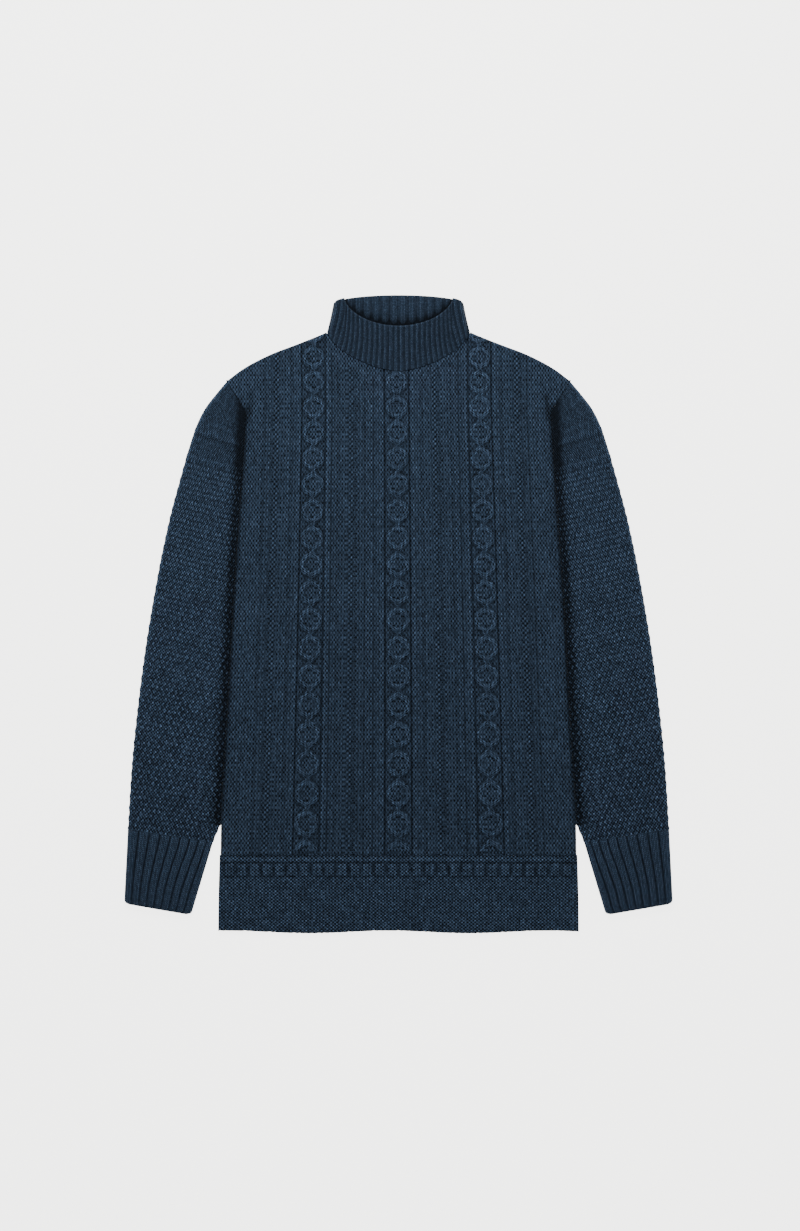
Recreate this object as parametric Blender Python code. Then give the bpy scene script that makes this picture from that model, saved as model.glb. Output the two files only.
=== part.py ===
"""Guernsey fisherman sweater, laid flat with its front up.

Metres, +Z up. The sweater lies on z = 0 with its collar towards +Y and its left hand side, as it is
looked at, towards -X. Heights are measured up the garment from the hem. Every piece is a wall of knitted
cloth: the front lies on the back, the sleeves and cuffs are flattened tubes beside them, and the ribbed
collar is a tube whose front rim stands lower and further off the surface than its back rim.
"""

import math
from collections import namedtuple

import bpy

# ---------------------------------------------------------------- driving dimensions
SEAM_GAP = 0.0003  # between pieces that are sewn or knitted to each other
WALL = 0.0026  # thickness of the plain knitted cloth
BODY_LAY = 0.0004  # air between the back and the edges of the front that lie on it
LOFT = 0.0013  # how much further the front stands off the back away from its edges
EDGE_ROLL = 0.005  # how far in from a fold the cloth starts to round down
FOLD_RISE = 0.0012  # height of the front's fold above its underside
WELT_FOLD_RISE = 0.0008  # and of the welt's
UNDER_INSET = 0.0006  # how far in from the fold the front's underside ends
BACK_INSET = 0.0008  # how far inside the front's edges the back's lie
EDGE_THINNING = 0.0008  # how much thinner the back is along its edges
ARMHOLE_FLATNESS = 0.85  # how little the front rounds down at the armhole, where the sleeve goes on

STITCH = 0.00352  # width of one stitch across the chest
HEM_SPREAD = 0.108  # how much wider the stitches lie at the hem than at the chest
CHEST_HEIGHT = 0.611  # height at which STITCH is measured
PATTERN_LEAN = 0.003  # how far the pattern leans to the left by the time it meets the neck

WELT_TOP = 0.0965
SHOULDER_ROUND = 0.0015  # first step of the rounded shoulder fold
NECK_HALF_WIDTH = 0.0915
NECK_SIDE_HEIGHT = 0.7622
NECK_FRONT_DEPTH = 0.0514
NECK_BACK_DEPTH = 0.0120
NECK_ROUNDNESS = 1.57  # exponent of the superellipse that the neckline follows

# Ring cable: eight stitches wide, its rings a little longer towards the hem.
CABLE_HALF_STITCHES = 4.0
CABLE_RELIEF = 0.0022
CABLE_HOLLOW = 0.0004  # ground inside a ring
STRAND_SWING = 2.65  # stitches from the cable's middle to a strand, at a ring's widest
STRAND_HALF_WIDTH = 1.2  # stitches
STRAND_CROSSED = 0.5  # stitches from the middle to a strand's crest where the two cross
RING_FIRST = 0.1363  # height of the lowest ring's centre
RING_PITCH = 0.0384
RING_SHRINK = 0.00021  # per ring, squared
RING_LOWEST = -0.95  # where the cable starts, in rings
RING_ROWS = 6
GUTTER_DEPTH = 0.0008
MOSS_RELIEF = 0.0007

# Places of the pattern's columns on each half of the front, in stitches from its middle.
CENTRE_CABLE = 0.0
SIDE_CABLE = 30.0
MOSS_COLUMNS = ((13.0, 17.0), (42.0, 46.0))
PLAIN_LINES = ((9.0,), (19.5, 22.0, 23.5, 24.4), (38.5,), (50.0,))  # the first two follow the neckline
MOSS_SHOULDER = 0.4  # stitches over which a moss column rises
EarLine = namedtuple("EarLine", "share lean")
# Columns that fan out over the dropped shoulder: share of the half width below the armhole, and lean above.
EAR_LINES = (EarLine(0.930, 0.06), EarLine(0.942, 0.20), EarLine(0.950, 0.38), EarLine(0.958, 0.61))

# Welt and the band of short ribs above it.
BAR_COUNT = 28
BAR_BOTTOM = 0.0722
BAR_TOP = 0.0894
BAR_SLOPE = 0.0016
BAR_FILL = 0.65  # part of its pitch that a bar takes
BAR_RELIEF = 0.0010
RIDGES = (0.0915, 0.0945)  # heights of the two garter ridges
RIDGE_HALF = 0.0009
RIDGE_RELIEF = 0.0008
HEM_WAVE = 0.0017
HEM_WAVE_LENGTH = 0.203
HEM_WAVE_CREST = -0.0125  # where across the hem it curves up most
HEM_MEAN = -0.0014

# Sleeves and cuffs, as the flattened tubes that they are.
ROW_TILT = 0.17  # rise of a sleeve's rows per metre outwards
HEAD_TILT = 0.031  # extra rise of the row at the armhole
HEAD_LENGTH = 0.13  # length of sleeve over which that extra rise dies away
SLEEVE_STATIONS = 17
HEAD_CROWDING = 1.5  # how much closer the stations lie towards the sleeve's curved head
SLEEVE_CREASE_HEIGHT = 0.0062  # thickness of the flattened sleeve beside the body
SLEEVE_FOLD_HEIGHT = 0.0072  # and at its outer fold
SLEEVE_SWELL = 0.0028  # how much thicker its middle is
SLEEVE_WALL = 0.0024
CUFF_RIBS = 9
CUFF_RIB_RELIEF = 0.0012
CUFF_GROOVE = 0.2  # part of a rib's pitch that each side of a groove takes
CUFF_STATIONS = 4
CUFF_SWELL = 0.0012

# Collar.
COLLAR_RIBS = 54
COLLAR_RINGS = 4
COLLAR_WALL = 0.0028
COLLAR_RIB_RELIEF = 0.0011
COLLAR_INNER_RELIEF = 0.0006
COLLAR_RIM_HALF_WIDTH = 0.0800
COLLAR_RIM_SIDE_HEIGHT = 0.7945
COLLAR_RIM_FRONT_DIP = 0.0291
COLLAR_RIM_BACK_RISE = 0.0126
COLLAR_DIP_HALF_WIDTH = 0.074
COLLAR_BACK_LEVEL = 0.0014  # middle of the back wall
COLLAR_SEAM_LEVEL = 0.0057  # middle of the front wall at its seam
COLLAR_RIM_LEVEL = 0.0135  # and at its rim

NAVY = (0.0185, 0.0330, 0.0530)

Side = namedtuple("Side", "height half_width")
Slope = namedtuple("Slope", "half_width height")
Station = namedtuple("Station", "height inner outer_height outer")

# Side edge of the body, where the sleeves lie against it and then part from it.
BODY_SIDE = (
    Side(0.0960, 0.2262),
    Side(0.1384, 0.2256),
    Side(0.2172, 0.2210),
    Side(0.2934, 0.2165),
    Side(0.4204, 0.2096),
    Side(0.5220, 0.2026),
    Side(0.6236, 0.1956),
    Side(0.6591, 0.1937),
)
ARMHOLE_FOOT = 0.6591
ARMHOLE_LEAN = 0.635  # above its foot, the armhole's seam runs outwards by this much per metre up
ARMHOLE_ROWS = (0.6450, 0.6591, 0.6720, 0.6850)  # heights at which the armhole's bend is followed
WELT_SIDE = (Side(-0.005, 0.2292), Side(0.040, 0.2288), Side(0.0965, 0.2273))
# Top fold of the shoulder, from the neck to the armhole.
SHOULDER = (
    Slope(0.0850, 0.7645),
    Slope(0.0930, 0.7600),
    Slope(0.1029, 0.7557),
    Slope(0.1321, 0.7442),
    Slope(0.1588, 0.7341),
    Slope(0.1803, 0.7239),
    Slope(0.1981, 0.7137),
    Slope(0.2184, 0.6985),
)
# Outer fold of the sleeve.
SLEEVE_OUTSIDE = (
    Side(0.1270, 0.3441),
    Side(0.1918, 0.3404),
    Side(0.2680, 0.3334),
    Side(0.3442, 0.3239),
    Side(0.4458, 0.3073),
    Side(0.5220, 0.2915),
    Side(0.5728, 0.2781),
    Side(0.6121, 0.2667),
    Side(0.6426, 0.2565),
    Side(0.6630, 0.2464),
    Side(0.6833, 0.2311),
    Side(0.6985, 0.2184),
)
SLEEVE_TOP = 0.6585  # height where the sleeve's head starts, at the body's side
SLEEVE_PARTING = 0.1359  # height where the sleeve's inner fold leaves the body
ARMHOLE_SEAM = Station(0.6588, 0.1942, 0.6977, 0.2189)
SLEEVE_END = Station(0.1130, 0.2356, 0.1295, 0.3441)
CUFF_END = Station(0.0203, 0.2635, 0.0352, 0.3480)


# ---------------------------------------------------------------- curves
def curve_through(rows, x_name, y_name):
    """A smooth function through a table's rows, which never overshoots them."""
    xs = [getattr(row, x_name) for row in rows]
    ys = [getattr(row, y_name) for row in rows]
    spans = range(len(xs) - 1)
    secants = [(ys[i + 1] - ys[i]) / (xs[i + 1] - xs[i]) for i in spans]
    inner = [0.0 if a * b <= 0 else 2 * a * b / (a + b) for a, b in zip(secants, secants[1:])]
    slopes = [secants[0], *inner, secants[-1]]

    def at(x):
        i = max([k for k in spans if xs[k] <= x], default=0)
        width = xs[i + 1] - xs[i]
        u = (x - xs[i]) / width
        if u < 0.0:
            return ys[i] + slopes[i] * (x - xs[i])
        if u > 1.0:
            return ys[i + 1] + slopes[i + 1] * (x - xs[i + 1])
        rise = u * u * (3 - 2 * u)
        bend = u * (1 - u) * ((1 - u) * slopes[i] - u * slopes[i + 1]) * width
        return ys[i] * (1 - rise) + ys[i + 1] * rise + bend

    return at


side_below_armhole = curve_through(BODY_SIDE, "height", "half_width")
welt_side = curve_through(WELT_SIDE, "height", "half_width")
shoulder_height = curve_through(SHOULDER, "half_width", "height")
sleeve_outside = curve_through(SLEEVE_OUTSIDE, "height", "half_width")


def body_side(height):
    """Half width of the body at a height; its edge turns outwards at the foot of the armhole."""
    if height <= ARMHOLE_FOOT:
        return side_below_armhole(height)
    return BODY_SIDE[-1].half_width + ARMHOLE_LEAN * (height - ARMHOLE_FOOT)


def mix(a, b, t):
    return a + (b - a) * t


def clamp(value, low=0.0, high=1.0):
    return min(max(value, low), high)


def rounded(q, roundness):
    """Height of a superellipse of radius 1 above q."""
    return max(0.0, 1.0 - abs(q) ** roundness) ** (1.0 / roundness)


def ring_height(ring):
    """Height of a place in a cable, counted in rings from the lowest ring's centre."""
    return RING_FIRST + RING_PITCH * ring - RING_SHRINK * ring * abs(ring)


def column_x(stitches, height):
    """Where a column of stitches lies across the front, at a height."""
    spread = 1.0 + HEM_SPREAD * clamp((CHEST_HEIGHT - height) / (CHEST_HEIGHT - WELT_TOP), -0.1, 1.0)
    lean = PATTERN_LEAN * clamp((height - WELT_TOP) / (NECK_SIDE_HEIGHT - WELT_TOP)) ** 2
    return stitches * STITCH * spread - lean


def neck_height(x, depth):
    """Height of the neckline at x, for the front's depth or the back's."""
    return NECK_SIDE_HEIGHT - depth * rounded(x / NECK_HALF_WIDTH, NECK_ROUNDNESS)


def panel_top(x, neck_depth):
    """Height of a body panel's upper edge: the neckline, and the shoulder beyond it."""
    if abs(x) < NECK_HALF_WIDTH:
        return min(neck_height(x, neck_depth) - 2 * SEAM_GAP, shoulder_height(abs(x)))
    return shoulder_height(abs(x))


def column_top(place, neck_depth):
    """Height at which a column meets the panel's upper edge; place gives its x at a height."""
    low, high = ARMHOLE_FOOT, NECK_SIDE_HEIGHT + 0.01
    for _ in range(30):
        middle = (low + high) / 2
        if middle < panel_top(place(middle), neck_depth):
            low = middle
        else:
            high = middle
    return low


def hem_height(x):
    """The front hem curves gently up and down."""
    return HEM_MEAN + HEM_WAVE * math.cos(2 * math.pi * (x - HEM_WAVE_CREST) / HEM_WAVE_LENGTH)


def roll(distance, reach=EDGE_ROLL):
    """1 away from a fold, falling to 0 on it along a quarter of an ellipse."""
    return math.sqrt(1.0 - (1.0 - clamp(distance / reach)) ** 2)


# ---------------------------------------------------------------- skins of points and faces
class Skin:
    """Points and faces of one closed wall."""

    def __init__(self):
        self.points = []
        self.faces = []

    def line(self, points):
        first = len(self.points)
        self.points += points
        return list(range(first, len(self.points)))

    def strip(self, a, b, axis):
        """Fills between two lines of points that run up an axis; from a to b, the outside is on top."""
        if len(a) == len(b):
            self.faces += [(a[i], b[i], b[i + 1], a[i + 1]) for i in range(len(a) - 1)]
            return
        i = j = 0
        while i < len(a) - 1 or j < len(b) - 1:
            next_a = self.points[a[i + 1]][axis] if i < len(a) - 1 else math.inf
            next_b = self.points[b[j + 1]][axis] if j < len(b) - 1 else math.inf
            if next_a <= next_b:
                self.faces.append((a[i], b[j], a[i + 1]))
                i += 1
            else:
                self.faces.append((a[i], b[j], b[j + 1]))
                j += 1

    def sheet(self, upper, lower):
        """A panel from its upper and lower columns, both from left to right and from hem to shoulder."""
        for a, b in zip(upper, upper[1:]):
            self.strip(a, b, 1)
        for a, b in zip(lower, lower[1:]):
            self.strip(b, a, 1)
        self.strip(lower[0], upper[0], 1)
        self.strip(upper[-1], lower[-1], 1)
        self.strip([c[0] for c in upper], [c[0] for c in lower], 0)
        self.strip([c[-1] for c in lower], [c[-1] for c in upper], 0)

    def tube(self, outer, inner):
        """A tube wall from its outer and inner rings, which have the same number of points."""
        for rings, flip in ((outer, False), (inner, True)):
            for a, b in zip(rings, rings[1:]):
                self.band(b, a) if flip else self.band(a, b)
        self.band(inner[0], outer[0])
        self.band(outer[-1], inner[-1])

    def band(self, a, b):
        count = len(a)
        self.faces += [(a[i], a[(i + 1) % count], b[(i + 1) % count], b[i]) for i in range(count)]


def knit_material(name, shade):
    material = bpy.data.materials.new(name)
    material.use_nodes = True
    surface = material.node_tree.nodes["Principled BSDF"]
    surface.inputs["Base Color"].default_value = (*(channel * shade for channel in NAVY), 1.0)
    surface.inputs["Roughness"].default_value = 0.95
    surface.inputs["Metallic"].default_value = 0.0
    return material


def make(name, skin, shade=1.0, mirrored=False):
    """Turns a skin into an object with its own material; a mirrored skin is turned to face out again."""
    side = -1.0 if mirrored else 1.0
    points = [(side * x, y, z) for x, y, z in skin.points]
    faces = [tuple(reversed(face)) for face in skin.faces] if mirrored else skin.faces
    mesh = bpy.data.meshes.new(name)
    mesh.from_pydata(points, [], faces)
    mesh.materials.append(knit_material(name + "_knit", shade))
    mesh.shade_smooth()
    mesh.set_sharp_from_angle(angle=math.radians(50))
    obj = bpy.data.objects.new(name, mesh)
    bpy.context.collection.objects.link(obj)
    return obj


# ---------------------------------------------------------------- the front
def front_under(edge_distance):
    """Level of the front's inner side: on the back at its edges, and a little off it inside."""
    return WALL + BODY_LAY + LOFT * roll(max(0.0, edge_distance - 0.002), 0.018)


def side_distance(x, height):
    return max(0.0, body_side(height) - abs(x))


def front_point(x, height, top, relief):
    """A point of the front's outer side; its folds round down, and the relief fades out on them."""
    to_side = side_distance(x, height)
    to_shoulder = top - height if abs(x) > NECK_HALF_WIDTH else EDGE_ROLL
    fold = WALL + BODY_LAY + FOLD_RISE
    full = front_under(to_side) + WALL
    in_armhole = clamp((height - ARMHOLE_FOOT) / 0.012 + 1.0)
    side_roll = mix(roll(to_side), 1.0, ARMHOLE_FLATNESS * in_armhole)
    fall = min(side_roll, roll(to_shoulder))
    return (x, height, fold + (full - fold + relief) * fall)


def row_heights(rings, top, extra=()):
    """Heights of a column's points, from the welt up and with the last ones on the shoulder's fold."""
    rows = [WELT_TOP + SEAM_GAP] + sorted([ring_height(ring) for ring in rings] + list(extra))
    below = [height for height in rows if height < top - 1.2 * EDGE_ROLL]
    return below + [top - EDGE_ROLL, top - SHOULDER_ROUND, top]


def front_column(skin, place, rings, relief, extra=()):
    """One column of the front; at a height, place gives its x and relief how far it stands out."""
    top = column_top(place, NECK_FRONT_DEPTH)
    points = []
    for height in row_heights(rings, top, extra):
        fade = clamp((top - height) / EDGE_ROLL)
        points.append(front_point(place(height), height, top, relief(height) * fade))
    return skin.line(points)


def strand_offset(ring):
    """Stitches from a cable's middle to its strands' crests, at a place counted in rings."""
    swing = abs(math.sin(math.pi * (ring + 0.5))) ** 2.4
    return max(STRAND_CROSSED, STRAND_SWING * swing)


def cable_columns(skin, middle, rings):
    """The seven columns of a ring cable, which follow its two strands as they part and cross."""
    def ring_at(height):
        # The inverse of ring_height, above the lowest ring and just below it.
        sign = 1.0 if height >= RING_FIRST else -1.0
        root = math.sqrt(max(0.0, RING_PITCH**2 - 4 * RING_SHRINK * abs(height - RING_FIRST)))
        return sign * (RING_PITCH - root) / (2 * RING_SHRINK)

    def open_share(ring):
        return clamp((strand_offset(ring) - STRAND_CROSSED) / (STRAND_SWING - STRAND_CROSSED))

    def places(height):
        crest = strand_offset(ring_at(height))
        foot = min(crest + STRAND_HALF_WIDTH, CABLE_HALF_STITCHES - 0.1)
        return (-CABLE_HALF_STITCHES, -foot, -crest, 0.0, crest, foot, CABLE_HALF_STITCHES)

    columns = []
    for index in range(7):
        def place(height, index=index):
            return column_x(middle + places(height)[index], height)

        def relief(height, index=index):
            if index in (2, 4):
                return CABLE_RELIEF
            if index == 3:
                return mix(CABLE_RELIEF, CABLE_HOLLOW, open_share(ring_at(height)))
            return CABLE_RELIEF * 0.35 if index in (1, 5) else 0.0

        columns.append(front_column(skin, place, rings, relief))
    return columns


def front_body():
    """The front, with its three ring cables between gutters and its four raised moss columns."""
    skin = Skin()
    coarse = [-0.5 + step for step in range(0, 18)]
    fine = [RING_LOWEST + step / RING_ROWS for step in range(0, 20 * RING_ROWS)]

    def flat(height):
        return 0.0

    def stitched(stitches, relief):
        return front_column(skin, lambda height: column_x(stitches, height), coarse, lambda height: relief)

    def edged(side, inset):
        def place(height):
            return side * (body_side(height) - inset)

        return front_column(skin, place, coarse, flat, ARMHOLE_ROWS)

    def eared(side, line):
        """A column beside the pattern that leans outwards above the armhole's foot."""
        def place(height):
            lean = line.lean * max(0.0, height - ARMHOLE_FOOT)
            return side * (line.share * side_below_armhole(min(height, ARMHOLE_FOOT)) + lean)

        return front_column(skin, place, coarse, flat, ARMHOLE_ROWS)

    def half(side):
        """Columns of one half between the middle cable and its edge, in order outwards."""
        gutter = CABLE_HALF_STITCHES + 0.5
        lines = [(gutter, -GUTTER_DEPTH), (gutter + 0.5, 0.0)]
        lines += [(place, 0.0) for place in PLAIN_LINES[0]]
        lines += moss_lines(*MOSS_COLUMNS[0])
        lines += [(place, 0.0) for place in PLAIN_LINES[1]]
        lines += [(SIDE_CABLE - gutter - 0.5, 0.0), (SIDE_CABLE - gutter, -GUTTER_DEPTH)]
        columns = [stitched(side * place, relief) for place, relief in lines]
        cable = cable_columns(skin, side * SIDE_CABLE, fine)
        columns += cable if side > 0 else list(reversed(cable))
        lines = [(SIDE_CABLE + gutter, -GUTTER_DEPTH), (SIDE_CABLE + gutter + 0.5, 0.0)]
        lines += [(place, 0.0) for place in PLAIN_LINES[2]]
        lines += moss_lines(*MOSS_COLUMNS[1])
        lines += [(place, 0.0) for place in PLAIN_LINES[3]]
        columns += [stitched(side * place, relief) for place, relief in lines]
        columns += [eared(side, line) for line in EAR_LINES]
        columns += [edged(side, inset) for inset in (EDGE_ROLL, SHOULDER_ROUND, 0.0)]
        return columns

    def moss_lines(low, high):
        return [
            (low, 0.0),
            (low + MOSS_SHOULDER, MOSS_RELIEF),
            (high - MOSS_SHOULDER, MOSS_RELIEF),
            (high, 0.0),
        ]

    left, right = half(-1.0), half(1.0)
    upper = list(reversed(left)) + cable_columns(skin, CENTRE_CABLE, fine) + right

    def under_column(place):
        top = column_top(place, NECK_FRONT_DEPTH)
        points = []
        extra = ARMHOLE_ROWS if abs(place(ARMHOLE_FOOT)) > 0.185 else ()
        for height in row_heights(coarse[::2], top, extra):
            x = place(height)
            to_shoulder = top - height if abs(x) > NECK_HALF_WIDTH else EDGE_ROLL
            level = front_under(min(side_distance(x, height), to_shoulder))
            points.append((x, height, level))
        return skin.line(points)

    insets = (UNDER_INSET, 0.008, 0.020)
    lower = [under_column(lambda height, i=i: -(body_side(height) - i)) for i in insets]
    half_columns = (0.0, 4.5, 9.0, 15.0, 20.0, 23.0, 25.0, 27.0, 34.0, 44.0)
    for stitches in [-place for place in half_columns[:0:-1]] + list(half_columns):
        lower.append(under_column(lambda height, s=stitches: column_x(s, height)))
    lower += [under_column(lambda height, i=i: body_side(height) - i) for i in reversed(insets)]
    skin.sheet(upper, lower)
    return make("front_body", skin)


# ---------------------------------------------------------------- the back
def back_body():
    """The back: a plain wall, flat underneath, whose edges the front's folds come down on."""
    skin = Skin()
    half_columns = (0.0, 0.03, 0.05, 0.066, 0.078, 0.085, 0.0885, 0.091, 0.11, 0.135, 0.16, 0.18)
    edge_insets = (0.003, 0.0)

    def column(place, edge, upper):
        top = column_top(place, NECK_BACK_DEPTH) - BACK_INSET
        heights = [WELT_TOP + SEAM_GAP, *[row.height for row in BODY_SIDE[1:-1]]]
        heights += [height for height in ARMHOLE_ROWS if height < top - 0.008] + [top]
        level = WALL - EDGE_THINNING * edge if upper else 0.0
        return skin.line([(place(height), height, level) for height in heights])

    def sheet_columns(upper):
        columns = []
        for side in (-1.0, 1.0):
            edged = [
                column(lambda h, i=i: side * (body_side(h) - BACK_INSET - i), i == 0.0, upper)
                for i in edge_insets
            ]
            plain = [column(lambda h, x=x: side * x, 0.0, upper) for x in half_columns[side < 0 :]]
            half = plain + edged
            columns += half if side > 0 else half[::-1]
        return columns

    skin.sheet(sheet_columns(True), sheet_columns(False))
    return make("back_body", skin, 0.96)


# ---------------------------------------------------------------- the welts
def front_welt():
    """The front welt, with two garter ridges and a band of short ribs above its plain stretch."""
    skin = Skin()
    top = WELT_TOP - SEAM_GAP
    pitch_shares = (0.0, BAR_SLOPE / 0.0163, BAR_FILL - BAR_SLOPE / 0.0163, BAR_FILL)

    def level(x, height, relief):
        to_edge = min(welt_side(height) - abs(x), height - hem_height(x))
        full = WALL + LOFT * roll(to_edge, 0.02) + relief
        return WALL + BODY_LAY + mix(WELT_FOLD_RISE, full, roll(to_edge))

    def edges(height):
        half = welt_side(height)
        return half, half - SHOULDER_ROUND, half - EDGE_ROLL

    def row(height_at, relief, fine=False):
        """A row of points from the left side to the right one; fine rows have the bars' corners."""
        middle = height_at(0.0)
        outer, shoulder, inner = edges(middle)
        xs = [-outer, -shoulder, -inner]
        reliefs = [0.0, 0.0, relief if not fine else 0.0]
        if fine:
            pitch = 2 * (inner - 0.002) / BAR_COUNT
            for bar in range(BAR_COUNT):
                for share, up in zip(pitch_shares, (0.0, 1.0, 1.0, 0.0)):
                    xs.append(-inner + 0.002 + (bar + share + (1 - BAR_FILL) / 2) * pitch)
                    reliefs.append(up * relief)
        else:
            steps = 12
            xs += [mix(-inner, inner, step / steps) for step in range(1, steps)]
            reliefs += [relief] * (steps - 1)
        xs += [inner, shoulder, outer]
        reliefs += [relief if not fine else 0.0, 0.0, 0.0]
        return skin.line([(x, height_at(x), level(x, height_at(x), r)) for x, r in zip(xs, reliefs)])

    def above_hem(distance):
        return lambda x: hem_height(x) + distance

    def straight(height):
        return lambda x: height

    rows = [row(above_hem(rise), 0.0) for rise in (0.0, SHOULDER_ROUND, EDGE_ROLL)]
    rows += [row(straight(height), 0.0) for height in (0.030, BAR_BOTTOM - 0.003)]
    rows += [
        row(straight(BAR_BOTTOM), 0.0, fine=True),
        row(straight(BAR_BOTTOM + BAR_SLOPE), BAR_RELIEF, fine=True),
        row(straight(BAR_TOP - BAR_SLOPE), BAR_RELIEF, fine=True),
        row(straight(BAR_TOP), 0.0, fine=True),
    ]
    for ridge in RIDGES:
        rows.append(row(straight(ridge - RIDGE_HALF), 0.0))
        rows.append(row(straight(ridge), RIDGE_RELIEF))
    rows += [row(straight(top - SEAM_GAP), 0.0), row(straight(top), 0.0)]

    def under(height_at):
        outer, _, inner = edges(height_at(0.0))
        xs = [UNDER_INSET - outer]
        xs += [mix(-inner + 0.01, inner - 0.01, step / 8) for step in range(9)]
        xs.append(outer - UNDER_INSET)
        return skin.line([(x, height_at(x), WALL + BODY_LAY) for x in xs])

    unders = [under(above_hem(0.0004)), under(straight(0.030)), under(straight(top))]
    for low, high in zip(rows, rows[1:]):
        skin.strip(high, low, 0)
    for low, high in zip(unders, unders[1:]):
        skin.strip(low, high, 0)
    skin.strip(rows[0], unders[0], 0)
    skin.strip(unders[-1], rows[-1], 0)
    skin.strip([line[0] for line in unders], [line[0] for line in rows], 1)
    skin.strip([line[-1] for line in rows], [line[-1] for line in unders], 1)
    return make("front_welt", skin)


def back_welt():
    """The back welt, which lies flat under the front one and ends just inside it."""
    skin = Skin()
    steps, inset = 12, 0.0010

    def column(share, upper):
        points = []
        for height in (None, 0.03, WELT_TOP - SEAM_GAP):
            half = welt_side(0.0 if height is None else height) - inset
            x = share * half
            y = hem_height(x) + inset if height is None else height
            edge = clamp((abs(share) - 0.985) / 0.015)
            points.append((x, y, WALL - EDGE_THINNING * edge if upper else 0.0))
        return skin.line(points)

    shares = [-1.0, -0.985] + [mix(-0.9, 0.9, step / steps) for step in range(steps + 1)] + [0.985, 1.0]
    skin.sheet([column(share, True) for share in shares], [column(share, False) for share in shares])
    return make("back_welt", skin, 0.96)


# ---------------------------------------------------------------- flattened tubes
def flat_tube_loop(width, tops, bottom, inset, fold_reach, top_shares, reliefs):
    """Cross section of a flattened tube as (distance across, level), from its inner fold over the top.

    tops gives the level of the upper side at a share of the width; bottom is the lower side's level.
    """
    low, high = inset, width - inset
    reach = max(fold_reach - inset, 0.0003)
    loop = []
    for share, relief in zip(top_shares, reliefs):
        across = mix(low + reach, high - reach, share)
        loop.append((across, tops(across / width) + relief))
    folds = (math.radians(50), 0.0, math.radians(-50))
    for side, end, angles in ((1.0, high - reach, folds), (-1.0, low + reach, folds[::-1])):
        upper = tops(clamp(end / width))
        middle, half = (upper + bottom) / 2, (upper - bottom) / 2
        fold = [(end + side * reach * math.cos(a), middle + half * math.sin(a)) for a in angles]
        if side > 0:
            loop += fold
            loop += [(mix(high - reach, low + reach, step / 6), bottom) for step in range(7)]
        else:
            loop += fold
    return loop


def tube_rings(skin, stations, swells, wall, top_shares, relief, rib_shape, fold_reach=0.0036):
    """Outer and inner rings of a flattened tube through its stations, the last station's first."""
    outer, inner = [], []
    for station, swell in zip(stations, swells):
        across = (station.outer - station.inner, station.outer_height - station.height)
        width = math.hypot(*across)

        def tops(share, swell=swell):
            edge = mix(SLEEVE_CREASE_HEIGHT, SLEEVE_FOLD_HEIGHT, share)
            return edge + swell * max(0.0, math.sin(math.pi * clamp(share))) ** 0.8

        def place(loop):
            return [
                (station.inner + across[0] * d / width, station.height + across[1] * d / width, z)
                for d, z in loop
            ]

        raised = [relief * shape for shape in rib_shape]
        plain = [0.0] * len(rib_shape)
        outer_loop = flat_tube_loop(width, tops, 0.0, 0.0, fold_reach, top_shares, raised)
        inner_loop = flat_tube_loop(
            width, lambda share: tops(share) - wall, wall, wall, fold_reach, top_shares, plain
        )
        outer.append(skin.line(place(outer_loop)))
        inner.append(skin.line(place(inner_loop)))
    return outer[::-1], inner[::-1]


def sleeve_inner_x(height):
    """Inner fold of the sleeve: along the body's side, then along a line to the cuff."""
    beside = body_side(height) + 2 * SEAM_GAP
    if height >= SLEEVE_PARTING:
        return beside
    share = (SLEEVE_PARTING - height) / (SLEEVE_PARTING - SLEEVE_END.height)
    return mix(body_side(SLEEVE_PARTING) + 2 * SEAM_GAP, SLEEVE_END.inner, share)


def sleeve_station(height):
    """The row of the sleeve that starts at a height on its inner fold."""
    inner = sleeve_inner_x(height)
    extra = HEAD_TILT * (1.0 - clamp((SLEEVE_TOP - height) / HEAD_LENGTH)) ** 2
    outer_height, outer = height, inner
    for _ in range(60):
        outer = sleeve_outside(outer_height)
        outer_height = mix(outer_height, height + extra + ROW_TILT * (outer - inner), 0.5)
    return Station(height, inner, outer_height, outer)


def sleeve(name, mirrored):
    """A sleeve from the armhole to the cuff, a tube pressed flat beside the body."""
    skin = Skin()
    shares = [(step / (SLEEVE_STATIONS - 1)) ** HEAD_CROWDING for step in range(SLEEVE_STATIONS)]
    heights = [mix(SLEEVE_TOP, SLEEVE_END.height, share) for share in shares]
    stations = [ARMHOLE_SEAM] + [sleeve_station(height) for height in heights[1:-1]] + [SLEEVE_END]
    swells = [SLEEVE_SWELL * mix(0.35, 1.0, clamp(share * 6)) for share in shares]
    swells[-1] = CUFF_SWELL + 0.0008
    across = [step / 10 for step in range(11)]
    outer, inner = tube_rings(skin, stations, swells, SLEEVE_WALL, across, 0.0, [0.0] * len(across))
    skin.tube(outer, inner)
    return make(name, skin, 0.94, mirrored)


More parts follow.
